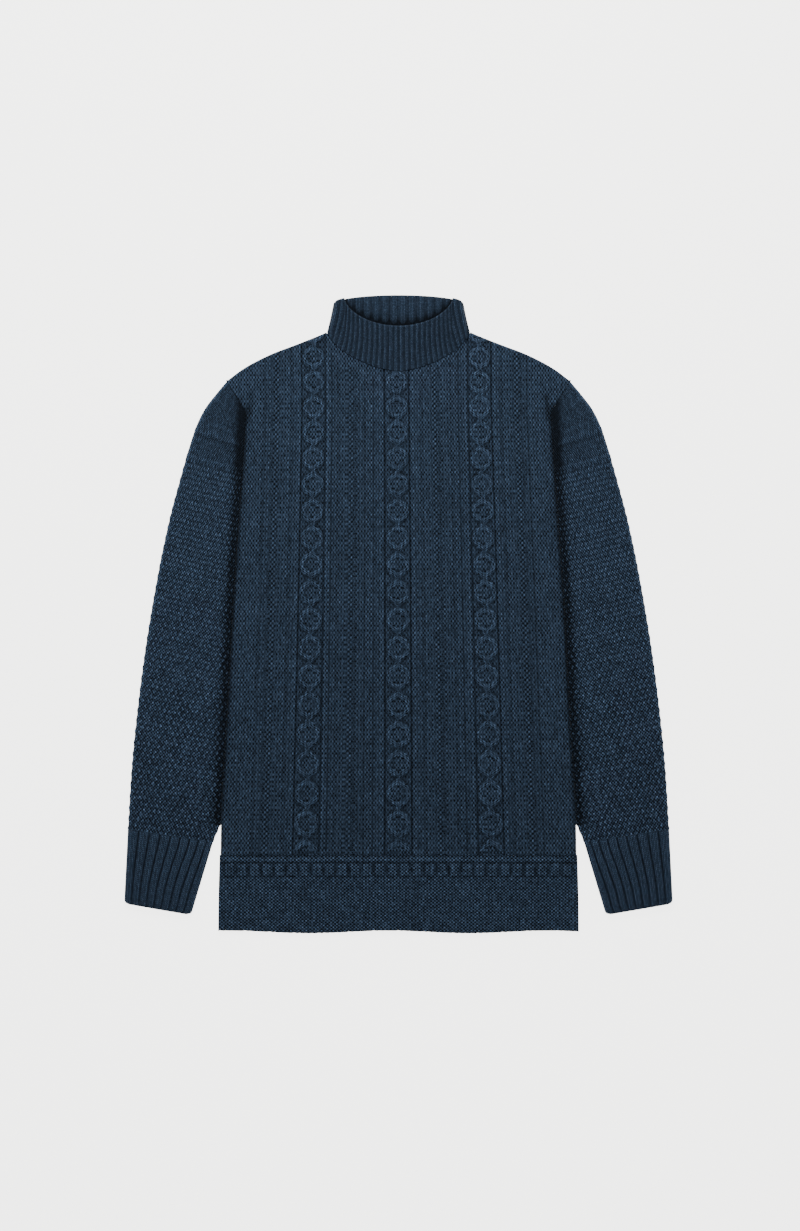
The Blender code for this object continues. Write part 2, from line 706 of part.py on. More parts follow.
def cuff(name, mirrored):
    """A ribbed cuff; its ribs are raised all over but underneath, where it rests."""
    skin = Skin()
    start = SLEEVE_END
    length = math.hypot(start.height - CUFF_END.height, start.inner - CUFF_END.inner)
    gap = 1.5 * SEAM_GAP / length
    stations, swells = [], []
    for step in range(CUFF_STATIONS):
        share = mix(gap, 1.0, step / (CUFF_STATIONS - 1))
        stations.append(Station(*(mix(a, b, share) for a, b in zip(start, CUFF_END))))
        swells.append(CUFF_SWELL)
    shares, shape = [0.0], [0.0]
    for rib in range(CUFF_RIBS):
        shares += [(rib + share) / CUFF_RIBS for share in (CUFF_GROOVE, 1 - CUFF_GROOVE, 1)]
        shape += [1.0, 1.0, 0.0]
    outer, inner = tube_rings(skin, stations, swells, SLEEVE_WALL, shares, CUFF_RIB_RELIEF, shape)
    skin.tube(outer, inner)
    return make(name, skin, 0.88, mirrored)


# ---------------------------------------------------------------- the collar
def collar_loop(rise):
    """Middle line of the collar's wall, a share of the way from its seam to its rim.

    Each entry is (x, height, level, outward x, outward z), from the middle of the front round.
    """
    reach = COLLAR_WALL / 2 + COLLAR_RIB_RELIEF
    half = mix(NECK_HALF_WIDTH - reach - 2 * SEAM_GAP, COLLAR_RIM_HALF_WIDTH, rise)
    front_level = mix(COLLAR_SEAM_LEVEL, COLLAR_RIM_LEVEL, rise**1.2)
    middle = (front_level + COLLAR_BACK_LEVEL) / 2
    radius = (front_level - COLLAR_BACK_LEVEL) / 2
    straight = half - radius

    def entry(x, level, out_x, out_z):
        # The front's share turns into the back's round the fold.
        front = (1.0 + out_z) / 2
        seam = neck_height(x + out_x * reach, mix(NECK_BACK_DEPTH, NECK_FRONT_DEPTH, front)) + SEAM_GAP
        dip = max(0.0, 1.0 - abs(x / COLLAR_DIP_HALF_WIDTH) ** 3) ** 1.2
        lift = COLLAR_RIM_BACK_RISE * rounded(x / half, 4.0)
        rim = COLLAR_RIM_SIDE_HEIGHT + mix(lift, -COLLAR_RIM_FRONT_DIP * dip, front)
        return (x, mix(seam, rim, rise), level, out_x, out_z)

    samples = 160
    loop = [entry(straight * step / samples, front_level, 0.0, 1.0) for step in range(samples)]
    for step in range(samples):
        angle = math.pi / 2 - math.pi * step / samples
        out = (math.cos(angle), math.sin(angle))
        loop.append(entry(straight + radius * out[0], middle + radius * out[1], *out))
    for step in range(samples + 1):
        loop.append(entry(straight * (1 - step / samples), COLLAR_BACK_LEVEL, 0.0, -1.0))
    return loop


def even_points(loop, count):
    """Reads a half loop at count + 1 evenly spaced places along it."""
    lengths = [0.0]
    for a, b in zip(loop, loop[1:]):
        lengths.append(lengths[-1] + math.dist(a[:3], b[:3]))
    found, i = [], 0
    for step in range(count + 1):
        wanted = lengths[-1] * step / count
        while i < len(loop) - 2 and lengths[i + 1] < wanted:
            i += 1
        share = clamp((wanted - lengths[i]) / max(lengths[i + 1] - lengths[i], 1e-9))
        found.append(tuple(mix(a, b, share) for a, b in zip(loop[i], loop[i + 1])))
    return found


def collar():
    """The ribbed collar: narrow ribs outside, wider ones inside, flat underneath."""
    skin = Skin()
    half_points = COLLAR_RIBS * 3 // 2
    outer, inner = [], []
    for ring in range(COLLAR_RINGS):
        half = even_points(collar_loop(ring / (COLLAR_RINGS - 1)), half_points)
        # The left half mirrors the right one, so the ring runs from the front round by the right.
        right = half[:-1]
        left = [(-x, y, z, -nx, nz) for x, y, z, nx, nz in reversed(half[1:])]
        outside, inside = [], []
        for index, (x, y, z, nx, nz) in enumerate(right + left):
            rib = 0.0 if index % 3 == 0 else 1.0
            wide = 0.5 - 0.5 * math.cos(2 * math.pi * index / 6)
            out = COLLAR_WALL / 2 + COLLAR_RIB_RELIEF * rib
            into = COLLAR_WALL / 2 - COLLAR_INNER_RELIEF + COLLAR_INNER_RELIEF * wide
            outside.append((x + nx * out, y, max(0.0, z + nz * out)))
            inside.append((x - nx * into, y, z - nz * into))
        outer.append(skin.line(outside))
        inner.append(skin.line(inside))
    skin.tube(outer, inner)
    return make("collar", skin, 0.95)


# ---------------------------------------------------------------- the whole garment
def centre(objects):
    """Moves every piece alike, so that the origin is under the middle of the garment."""
    corners = [vertex.co for obj in objects for vertex in obj.data.vertices]
    shift = [-(min(c[axis] for c in corners) + max(c[axis] for c in corners)) / 2 for axis in (0, 1)]
    for obj in objects:
        for vertex in obj.data.vertices:
            vertex.co.x += shift[0]
            vertex.co.y += shift[1]
        obj.data.update()


def main():
    for obj in list(bpy.data.objects):
        bpy.data.objects.remove(obj, do_unlink=True)
    pieces = [front_body(), back_body(), front_welt(), back_welt(), collar()]
    for side, mirrored in (("left", True), ("right", False)):
        pieces.append(sleeve("sleeve_" + side, mirrored))
        pieces.append(cuff("cuff_" + side, mirrored))
    centre(pieces)


main()
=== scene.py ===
"""Looks of a guernsey fisherman sweater laid flat with its front up: knitted shells, wool, floor and light.

Metres, in the frame of the solids. "height" is measured up the garment from the hem, "stitches" across it
from its middle, and "rows" up it. Every shell is a closed wall of cloth on the form of its solid. Its
cables, ribs, bumps and ridges are shaped in the mesh, and its single stitches in the wool's shader, which
reads the stitches and rows from the UV map. Shade in the hollows, grooves and creases, and light on raised
stitches and strands, are painted into the wool's colour.
"""

import math

import bpy
import numpy as np
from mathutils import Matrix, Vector
from numpy.lib.stride_tricks import sliding_window_view


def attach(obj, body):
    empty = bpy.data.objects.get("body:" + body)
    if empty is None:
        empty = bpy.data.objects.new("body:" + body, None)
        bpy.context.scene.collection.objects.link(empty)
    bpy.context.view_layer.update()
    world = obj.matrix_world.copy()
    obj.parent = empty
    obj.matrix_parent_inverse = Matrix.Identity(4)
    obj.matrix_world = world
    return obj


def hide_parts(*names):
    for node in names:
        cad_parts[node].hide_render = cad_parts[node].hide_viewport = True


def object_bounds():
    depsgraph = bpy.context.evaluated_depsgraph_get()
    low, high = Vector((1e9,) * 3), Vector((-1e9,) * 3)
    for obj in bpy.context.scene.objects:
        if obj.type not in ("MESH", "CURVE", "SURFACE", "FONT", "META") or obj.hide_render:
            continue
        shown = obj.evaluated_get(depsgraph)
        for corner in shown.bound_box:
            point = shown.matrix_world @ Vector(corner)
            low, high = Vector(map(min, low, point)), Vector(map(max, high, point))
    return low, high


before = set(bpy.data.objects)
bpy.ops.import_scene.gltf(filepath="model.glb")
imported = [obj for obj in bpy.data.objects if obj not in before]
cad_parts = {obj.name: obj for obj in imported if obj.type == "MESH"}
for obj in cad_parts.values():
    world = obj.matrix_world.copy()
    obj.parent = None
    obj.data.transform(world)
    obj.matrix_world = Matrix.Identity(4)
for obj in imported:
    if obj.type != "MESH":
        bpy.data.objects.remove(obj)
cad_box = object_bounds()

# -------- sizes shared with the solids
HEM_LOW = -0.0031  # height of the lowest point of the hem
SHIFT = cad_box[0][1] - HEM_LOW  # from height up the garment to y

WALL = 0.0026  # thickness of the plain cloth
FRONT_UNDER = 0.0030  # level of the front's inner side at its edges
LOFT = 0.0013  # how much higher the front lies away from its sides
SEAM_GAP = 0.0003
STITCH = 0.00352
ROW = 0.0030
HEM_SPREAD = 0.108
CHEST_HEIGHT = 0.611
PATTERN_LEAN = 0.003
WELT_TOP = 0.0965
BODY_BOTTOM = WELT_TOP + 0.0001
WELT_EDGE = WELT_TOP - 0.0001
NECK_HALF_WIDTH = 0.0915
NECK_SIDE_HEIGHT = 0.7622
NECK_FRONT_DEPTH = 0.0514
NECK_BACK_DEPTH = 0.0120
NECK_ROUNDNESS = 1.57
ARMHOLE_FOOT = 0.6591
ARMHOLE_LEAN = 0.635
RING_FIRST = 0.1363
RING_PITCH = 0.0384
RING_SHRINK = 0.00021

# Edges of the flat garment, as (height, half width) or, for the shoulder, (half width, height).
BODY_SIDE = (
    (0.0960, 0.2262), (0.1384, 0.2256), (0.2172, 0.2210), (0.2934, 0.2165),
    (0.4204, 0.2096), (0.5220, 0.2026), (0.6236, 0.1956), (0.6591, 0.1937),
)
WELT_SIDE = ((-0.005, 0.2292), (0.040, 0.2288), (0.0965, 0.2273))
SHOULDER = (
    (0.0850, 0.7645), (0.0930, 0.7600), (0.1029, 0.7557), (0.1321, 0.7442),
    (0.1588, 0.7341), (0.1803, 0.7239), (0.1981, 0.7137), (0.2184, 0.6985),
)
SLEEVE_OUTSIDE = (
    (0.1270, 0.3441), (0.1918, 0.3404), (0.2680, 0.3334), (0.3442, 0.3239),
    (0.4458, 0.3073), (0.5220, 0.2915), (0.5728, 0.2781), (0.6121, 0.2667),
    (0.6426, 0.2565), (0.6630, 0.2464), (0.6833, 0.2311), (0.6985, 0.2184),
)
SLEEVE_PARTING = 0.1359
# Rows across the sleeve: height and half width at its inner fold, then at its outer one.
ARMHOLE_SEAM = (0.6590, 0.1938, 0.6979, 0.2185)
SLEEVE_END = (0.1130, 0.2356, 0.1295, 0.3441)
# How much higher a row of the sleeve ends at its outer fold, for heights of its inner end.
SLEEVE_RISE = (
    (0.1130, 0.0165), (0.2000, 0.0225), (0.3300, 0.0265), (0.4500, 0.0250),
    (0.5700, 0.0185), (0.6050, 0.0195), (0.6590, 0.0389),
)
CUFF_END = (0.0203, 0.2635, 0.0352, 0.3488)

NAVY = (0.0096, 0.0166, 0.0287)


# -------- curves
def mix(a, b, t):
    return a + (b - a) * t


def unit(t):
    return np.clip(t, 0.0, 1.0)


def ease(t):
    t = unit(t)
    return t * t * (3.0 - 2.0 * t)


def hump(distance, width):
    return np.exp(-((distance / width) ** 2))


def window(value, low, high, soft=0.3):
    """1 between low and high, falling to 0 outside them."""
    return ease((value - low) / soft + 0.5) * ease((high - value) / soft + 0.5)


def curve_through(rows):
    """A smooth function through a table's rows, which never overshoots them."""
    xs, ys = np.array(rows).T
    secants = np.diff(ys) / np.diff(xs)
    products = secants[:-1] * secants[1:]
    sums = np.where(products > 0, secants[:-1] + secants[1:], 1.0)
    inner = np.where(products > 0, 2 * products / sums, 0.0)
    slopes = np.concatenate([secants[:1], inner, secants[-1:]])

    def at(x):
        x = np.asarray(x, dtype=float)
        i = np.clip(np.searchsorted(xs, x, side="right") - 1, 0, len(xs) - 2)
        width = xs[i + 1] - xs[i]
        u = (x - xs[i]) / width
        t = unit(u)
        bend = t * (1 - t) * ((1 - t) * slopes[i] - t * slopes[i + 1])
        beyond = np.minimum(u, 0.0) * slopes[i] + np.maximum(u - 1, 0.0) * slopes[i + 1]
        return mix(ys[i], ys[i + 1], ease(t)) + (bend + beyond) * width

    return at


side_below_armhole = curve_through(BODY_SIDE)
welt_side = curve_through(WELT_SIDE)
shoulder_height = curve_through(SHOULDER)
sleeve_outside = curve_through(SLEEVE_OUTSIDE)
sleeve_rise = curve_through(SLEEVE_RISE)


def body_side(height):
    above = np.maximum(0.0, height - ARMHOLE_FOOT)
    return side_below_armhole(np.minimum(height, ARMHOLE_FOOT)) + ARMHOLE_LEAN * above


def rounded(q, roundness):
    return np.maximum(0.0, 1.0 - np.abs(q) ** roundness) ** (1.0 / roundness)


def neck_height(x, depth):
    return NECK_SIDE_HEIGHT - depth * rounded(x / NECK_HALF_WIDTH, NECK_ROUNDNESS)


def panel_top(x, depth, gap=0.0):
    """Height of a body panel's upper edge: the neckline, and the shoulder beyond it."""
    shoulder = shoulder_height(np.abs(x))
    return np.where(np.abs(x) < NECK_HALF_WIDTH, np.minimum(neck_height(x, depth) - gap, shoulder), shoulder)


def spread_at(height):
    """Width of a stitch, which grows towards the hem."""
    share = np.clip((CHEST_HEIGHT - height) / (CHEST_HEIGHT - WELT_TOP), -0.1, 1.0)
    return STITCH * (1.0 + HEM_SPREAD * share)


def lean_at(height):
    """How far the pattern leans to the left."""
    return PATTERN_LEAN * unit((height - WELT_TOP) / (NECK_SIDE_HEIGHT - WELT_TOP)) ** 2


def stitches_at(x, height):
    return (x + lean_at(height)) / spread_at(height)


def rows_at(height):
    return (height - WELT_TOP) / ROW


def roll(distance, reach):
    """A quarter circle, from 0 at an edge to 1 at a distance from it."""
    return np.sqrt(1.0 - (1.0 - unit(distance / reach)) ** 2)


# -------- knitted relief, and its painted light and shade
SHADE_CELLS = 3  # cells of a grid to each side that count as a point's surroundings


def scatter(a, b):
    """An even value from 0 to 1 for each pair of whole numbers, the same in every run."""
    return np.mod(np.sin(a * 12.9898 + b * 78.233) * 43758.5453, 1.0)


def checker(stitches, rows):
    """Moss stitch: bumps of uneven size on every second stitch of each row, shifted from row to row."""
    uneven = 0.35 + 1.2 * scatter(np.round(stitches), np.round(rows))
    return 0.5 + 0.5 * np.cos(math.pi * stitches) * np.cos(math.pi * rows) * uneven


def hollows(level, wrap=False):
    """How far each point lies below its surroundings, in millimetres, for the shade painted into the wool's
    colour.
    """
    around = np.pad(level, ((SHADE_CELLS, SHADE_CELLS), (0, 0)), mode="edge")
    around = np.pad(around, ((0, 0), (SHADE_CELLS, SHADE_CELLS)), mode="wrap" if wrap else "edge")
    for axis in (0, 1):
        around = sliding_window_view(around, 2 * SHADE_CELLS + 1, axis).mean(axis=-1)
    return (around - level) * 1000.0


# Places across the front and widths, in stitches.
CABLE_MIDDLES = (-30.25, 0.0, 30.25)
CABLE_HALF = 4.0
STRAND_HALF = 1.10
STRAND_RELIEF = 0.0020
RING_REACH = 3.10  # from the cable's middle to the strands, at a ring's widest
RING_HALF = 0.335  # half the length of a ring, along the middle of its strands, in rings
CROSSING_REACH = 1.7  # from the cable's middle to the strands, where their crossing starts
CROSSING_HALF = 0.21  # half the length of a crossing, in rings
GUTTERS = (-34.5, -26.0, -4.5, 4.5, 26.0, 34.5)
MOSS_COLUMNS = ((-46.0, -42.0), (-18.3, -14.0), (12.6, 16.5), (42.0, 46.0))
PURL_COLUMNS = (
    (-48.0, -46.0), (-42.0, -40.0), (-38.0, -36.0), (-24.0, -22.0), (-20.3, -18.3),
    (-14.0, -11.5), (-8.6, -6.4), (6.4, 8.6), (10.6, 12.6), (16.5, 18.8),
    (22.0, 24.0), (36.0, 38.0), (40.0, 42.0), (46.0, 48.0),
)
BEAD_ROW = 0.0998  # height of the beads along the top of the welt
BEAD_GROOVE = 0.0972  # height of the dark line below them
NECK_BANDS = (0.016, 0.007)  # width of the plain band along the neckline, left and right of its middle
DARK_COLUMNS = (-48.2, -38.3, -23.6, -21.2, -11.6, -8.5, 9.0, 19.7, 22.4, 38.1, 47.6)


def ring_at(height):
    """Place in a cable, counted in rings from the lowest ring's centre."""
    past = height - RING_FIRST
    root = np.sqrt(np.maximum(0.0, RING_PITCH**2 - 4 * RING_SHRINK * np.abs(past)))
    return np.sign(past) * (RING_PITCH - root) / (2 * RING_SHRINK)


def cable_relief(across, ring):
    """Relief of a ring cable, the stitches along its strands, where its purl ground shows, and its painted
    light and shade.
    """
    past = ring - np.round(ring)
    away = np.abs(past)
    radial = np.hypot(across / RING_REACH, away / RING_HALF)
    beyond = (radial - 1.0) * RING_REACH / STRAND_HALF
    loop = rounded(beyond, 2.0)
    # Between two rings the strands cross; the one that leans to the right as it rises lies on top.
    crossing = CROSSING_REACH * (0.5 - away) / CROSSING_HALF
    between = window(away, 0.33, 1.0, 0.04)
    lean = np.sign(past) * crossing
    over, under = (rounded((across + a) / STRAND_HALF, 2.0) * between for a in (lean, -lean))
    strands = np.maximum(loop, np.maximum(0.78 * over, 0.52 * under))
    # On a strand the stitches are counted from its crest, and elsewhere straight across.
    distance = np.abs(across)
    crest = np.maximum(RING_REACH * rounded(away / RING_HALF, 2.0), np.where(away > 0.31, crossing, 0.0))
    on_strand = (distance > np.maximum(crest - STRAND_HALF, 0.0)) & (distance < crest + STRAND_HALF)
    along = np.where(on_strand, distance - crest + 2.0, distance)
    filled = unit((1.0 - radial) * 4.0)
    ground = unit(1.0 - 2.5 * strands)
    pit = hump(across, 0.42) * hump(away - 0.225, 0.030)
    relief = np.maximum(strands * STRAND_RELIEF, 0.0006 * ground + 0.0009 * filled) - 0.0008 * pit
    ground = ground * (1.0 - filled)
    # The strands are painted lighter, and their outlines, the pits and the purl ground darker: painted light
    # and shade of the relief.
    outline = hump(beyond - 1.15, 0.35) + 0.15 * hump(beyond + 1.15, 0.35)
    crossed = np.maximum(over, 0.8 * under) * (1.0 - loop)
    paint = 0.34 * outline * (1.0 - crossed) - 0.22 * loop - 0.34 * crossed + pit
    paint = paint + 0.16 * ground * ease((CABLE_HALF - 0.3 - distance) / 0.2 + 0.5)
    return relief, along, ground, paint


def front_knit(stitches, height, x):
    """Relief of the front, its stitches for the UV map, how much is moss and purl, and its paint: painted
    light and shade, and dark lines in the knit.
    """
    purl = sum(window(stitches, low, high) for low, high in PURL_COLUMNS)
    moss = sum(window(stitches, low, high) for low, high in MOSS_COLUMNS)
    paint = 0.60 * sum(hump(stitches - middle, 0.36) for middle in DARK_COLUMNS)
    # A lighter line is painted beside each gutter, on the side away from its cable.
    for gutter, outwards in zip(GUTTERS, (-1, 1) * 3):
        paint -= 0.50 * hump(stitches - gutter - 0.85 * outwards, 0.30)
    # A plain band follows the neckline.
    edge = panel_top(x, NECK_FRONT_DEPTH) - height
    band = np.where(x < 0, *NECK_BANDS)
    patterned = np.where(np.abs(x) < NECK_HALF_WIDTH, ease((edge - band) / 0.002), 1.0)
    purl, moss, paint = purl * patterned, moss * patterned, paint * patterned
    bumps = checker(stitches, rows_at(height))
    relief = moss * (0.0011 * bumps - 0.0006) - 0.00030 * purl
    # Moss bumps are painted lighter and the dips between them darker, as painted light and shade.
    paint += moss * (0.82 - 1.62 * bumps)
    along = stitches
    fade = ease((height - WELT_TOP - 0.003) / 0.004)
    for middle in CABLE_MIDDLES:
        across = stitches - middle
        inside = np.abs(across) <= CABLE_HALF
        raised, followed, ground, shaded = cable_relief(across, ring_at(height))
        relief = np.where(inside, raised * fade + 0.0001, relief)
        along = np.where(inside, middle + np.where(across > 0, 1, -1) * followed, along)
        purl = np.where(inside, ground, purl)
        paint = np.where(inside, shaded * fade, paint)
    # Plain knit has faintly raised columns, one for each stitch.
    relief += unit(1.0 - purl - moss) * 0.00008 * np.cos(2 * math.pi * (along + 0.5))
    # A row of beads lies along the top of the welt. The beads are painted a little lighter, and a line below
    # them darker, most of all between the beads, as painted light and shade.
    beads = 0.5 + 0.5 * np.cos(2 * math.pi * stitches)
    bead_row = hump(height - BEAD_ROW, 0.0014)
    relief += 0.0005 * bead_row * (0.4 + beads)
    paint += (0.6 - 0.5 * beads) * hump(height - BEAD_GROOVE, 0.0008) - 0.12 * beads * bead_row
    return relief, along, moss, purl, paint


CREASES = (
    # Soft dents and rises laid into the front: ends in (x, height), width, depth.
    (-0.1905, 0.655, -0.1878, 0.690, 0.0046, -0.0006),
    (0.1908, 0.655, 0.1882, 0.690, 0.0046, -0.0006),
    (-0.180, 0.640, -0.120, 0.560, 0.0120, 0.0004),
    (0.178, 0.636, 0.125, 0.540, 0.0120, 0.0004),
    (-0.205, 0.690, -0.120, 0.715, 0.0100, 0.0005),
    (0.205, 0.690, 0.110, 0.720, 0.0100, 0.0005),
    (-0.150, 0.100, -0.135, 0.260, 0.0160, 0.0004),
    (0.155, 0.100, 0.150, 0.230, 0.0160, 0.0004),
    (0.030, 0.100, 0.020, 0.190, 0.0180, 0.0003),
)


def creases(x, height):
    """Lift of the listed folds, and the slow unevenness of cloth that lies flat."""
    lift = 0.00028 * np.sin(37.0 * x + 9.0 * height) * np.sin(21.0 * height - 5.0 * x + 0.8)
    lift += 0.00022 * np.sin(19.0 * x - 31.0 * height + 1.7)
    for x0, h0, x1, h1, width, depth in CREASES:
        run = (x1 - x0, h1 - h0)
        length = math.hypot(*run)
        along = ((x - x0) * run[0] + (height - h0) * run[1]) / length
        across = ((x - x0) * run[1] - (height - h0) * run[0]) / length
        ends = ease(along / (0.35 * length) + 0.3) * ease((length - along) / (0.35 * length) + 0.3)
        lift += depth * hump(across, width) * ends
    return lift


# -------- shells
def add(name, data):
    """A new object in the scene."""
    made = bpy.data.objects.new(name, data)
    bpy.context.collection.objects.link(made)
    return made


class Shell:
    """Points, faces, stitch coordinates, knit, and painted shade and tone of one closed piece of cloth."""

    def __init__(self):
        self.points, self.values = [], []
        self.count = 0
        self.quads, self.quad_uvs = [], []
        self.triangles = []

    def grid(self, x, y, z, u, v, closed=False, flip=False, moss=0.0, purl=0.0, painted_shade_and_tone=0.0, u_right=None):
        """Adds a grid of points, rows upwards and columns to the right, and returns their indices.

        u_right gives the stitches as the faces to the right of the points read them.
        """
        spread = [np.broadcast_to(a, x.shape).ravel() for a in (x, y, z, u, v, moss, purl, painted_shade_and_tone)]
        self.points.append(np.stack(spread[:3], axis=1))
        self.values.append(np.stack(spread[3:], axis=1))
        index = self.count + np.arange(x.size).reshape(x.shape)
        self.count += x.size
        right = u if u_right is None else u_right
        at, left_u, right_u, rows = (np.broadcast_to(a, x.shape) for a in (index, u, right, v))
        if closed:
            at, rows = (np.append(a, a[:, :1], axis=1) for a in (at, rows))
            left_u = right_u = np.append(left_u, 2 * left_u[:, -1:] - left_u[:, -2:-1], axis=1)
        corners = [at[:-1, :-1], at[:-1, 1:], at[1:, 1:], at[1:, :-1]]
        us = [right_u[:-1, :-1], left_u[:-1, 1:], left_u[1:, 1:], right_u[1:, :-1]]
        vs = [rows[:-1, :-1], rows[:-1, 1:], rows[1:, 1:], rows[1:, :-1]]
        corners, us, vs = (np.stack([part.ravel() for part in parts], axis=1) for parts in (corners, us, vs))
        step = -1 if flip else 1
        self.quads.append(corners[:, ::step])
        self.quad_uvs.append(np.stack([us, vs], axis=2)[:, ::step])
        return index

    def bridge(self, a, b, shares=None):
        """Joins two lines of points, whatever their counts; b lies below a, seen from outside."""
        shares = shares or [np.linspace(0, 1, len(line)) for line in (a, b)]
        a_share, b_share = ([*line, math.inf] for line in shares)
        i = j = 0
        while i + j < len(a) + len(b) - 2:
            if b_share[j + 1] < a_share[i + 1]:
                self.triangles.append((b[j], b[j + 1], a[i]))
                j += 1
            else:
                self.triangles.append((a[i], b[j], a[i + 1]))
                i += 1

    def slab(self, upper, lower):
        """Closes the space between an upper grid and a lower one, all the way round."""
        for turn in range(4):
            self.bridge(np.rot90(upper, turn)[0], np.rot90(lower, turn)[0])

    def rim(self, lines, shares, last):
        """Joins the ends of a tube's outer and inner skins; shares say how far round the points lie."""
        lines = [np.append(line, line[0]) for line in lines]
        shares = [np.append(share, 1.0) for share in shares]
        if last:
            lines, shares = [line[::-1] for line in lines], [1 - share[::-1] for share in shares]
        self.bridge(*lines, shares)

    def make(self, name, material, mirrored=False):
        points, values = np.concatenate(self.points), np.concatenate(self.values)
        quads, uvs = np.concatenate(self.quads), np.concatenate(self.quad_uvs)
        triangles = np.array(self.triangles)
        if mirrored:
            points = points * (-1.0, 1.0, 1.0)
        triangle_uvs = values[triangles][:, :, :2]
        # A closed shell has a positive volume when its faces look outwards.
        soup = np.concatenate([quads[:, (0, 1, 2)], quads[:, (0, 2, 3)], triangles])
        a, b, c = (points[soup[:, k]] for k in range(3))
        if np.einsum("ij,ij->", a, np.cross(b, c)) < 0:
            quads, uvs = quads[:, ::-1], uvs[:, ::-1]
            triangles, triangle_uvs = triangles[:, ::-1], triangle_uvs[:, ::-1]
        mesh = bpy.data.meshes.new(name)
        mesh.from_pydata(points.tolist(), [], quads.tolist() + triangles.tolist())
        layer = mesh.uv_layers.new(name="stitches")
        every = np.concatenate([uvs.reshape(-1, 2), triangle_uvs.reshape(-1, 2)])
        layer.uv.foreach_set("vector", every.astype(np.float32).ravel())
        for label, column in zip(("moss", "purl", "painted_shade_and_tone"), values.T[2:]):
            attribute = mesh.attributes.new(label, "FLOAT", "POINT")
            attribute.data.foreach_set("value", column.astype(np.float32))
        mesh.validate()
        mesh.materials.append(material)
        mesh.shade_smooth()
        mesh.set_sharp_from_angle(angle=math.radians(75))
        return add(name, mesh)


# -------- wool
def feed(slot, value):
    """Sets an input of a node, or links it to a wire."""
    if isinstance(value, Wire):
        slot.id_data.links.new(value.socket, slot)
    else:
        slot.default_value = value


class Wire:
    """A value in a shader; arithmetic on it adds nodes."""

    def __init__(self, socket):
        self.socket = socket

    def run(self, operation, *others):
        node = self.socket.id_data.nodes.new("ShaderNodeMath")
        node.operation = operation
        for slot, value in zip(node.inputs, (self, *others)):
            feed(slot, value)
        return Wire(node.outputs[0])

    def __add__(self, other):
        return self.run("ADD", other)

    def __sub__(self, other):
        return self.run("SUBTRACT", other)

    def __mul__(self, other):
        return self.run("MULTIPLY", other)

    def wave(self):
        """Cosine with a period of 1."""
        return (self * (2 * math.pi)).run("COSINE")

    def power(self, exponent):
        return self.run("MAXIMUM", 0.0).run("POWER", exponent)


def principled(name, **values):
    """A material and its surface's inputs, with the given values."""
    material = bpy.data.materials.new(name)
    material.use_nodes = True
    surface = material.node_tree.nodes["Principled BSDF"].inputs
    for label, value in values.items():
        feed(surface[label.replace("_", " ")], value)
    return material, surface


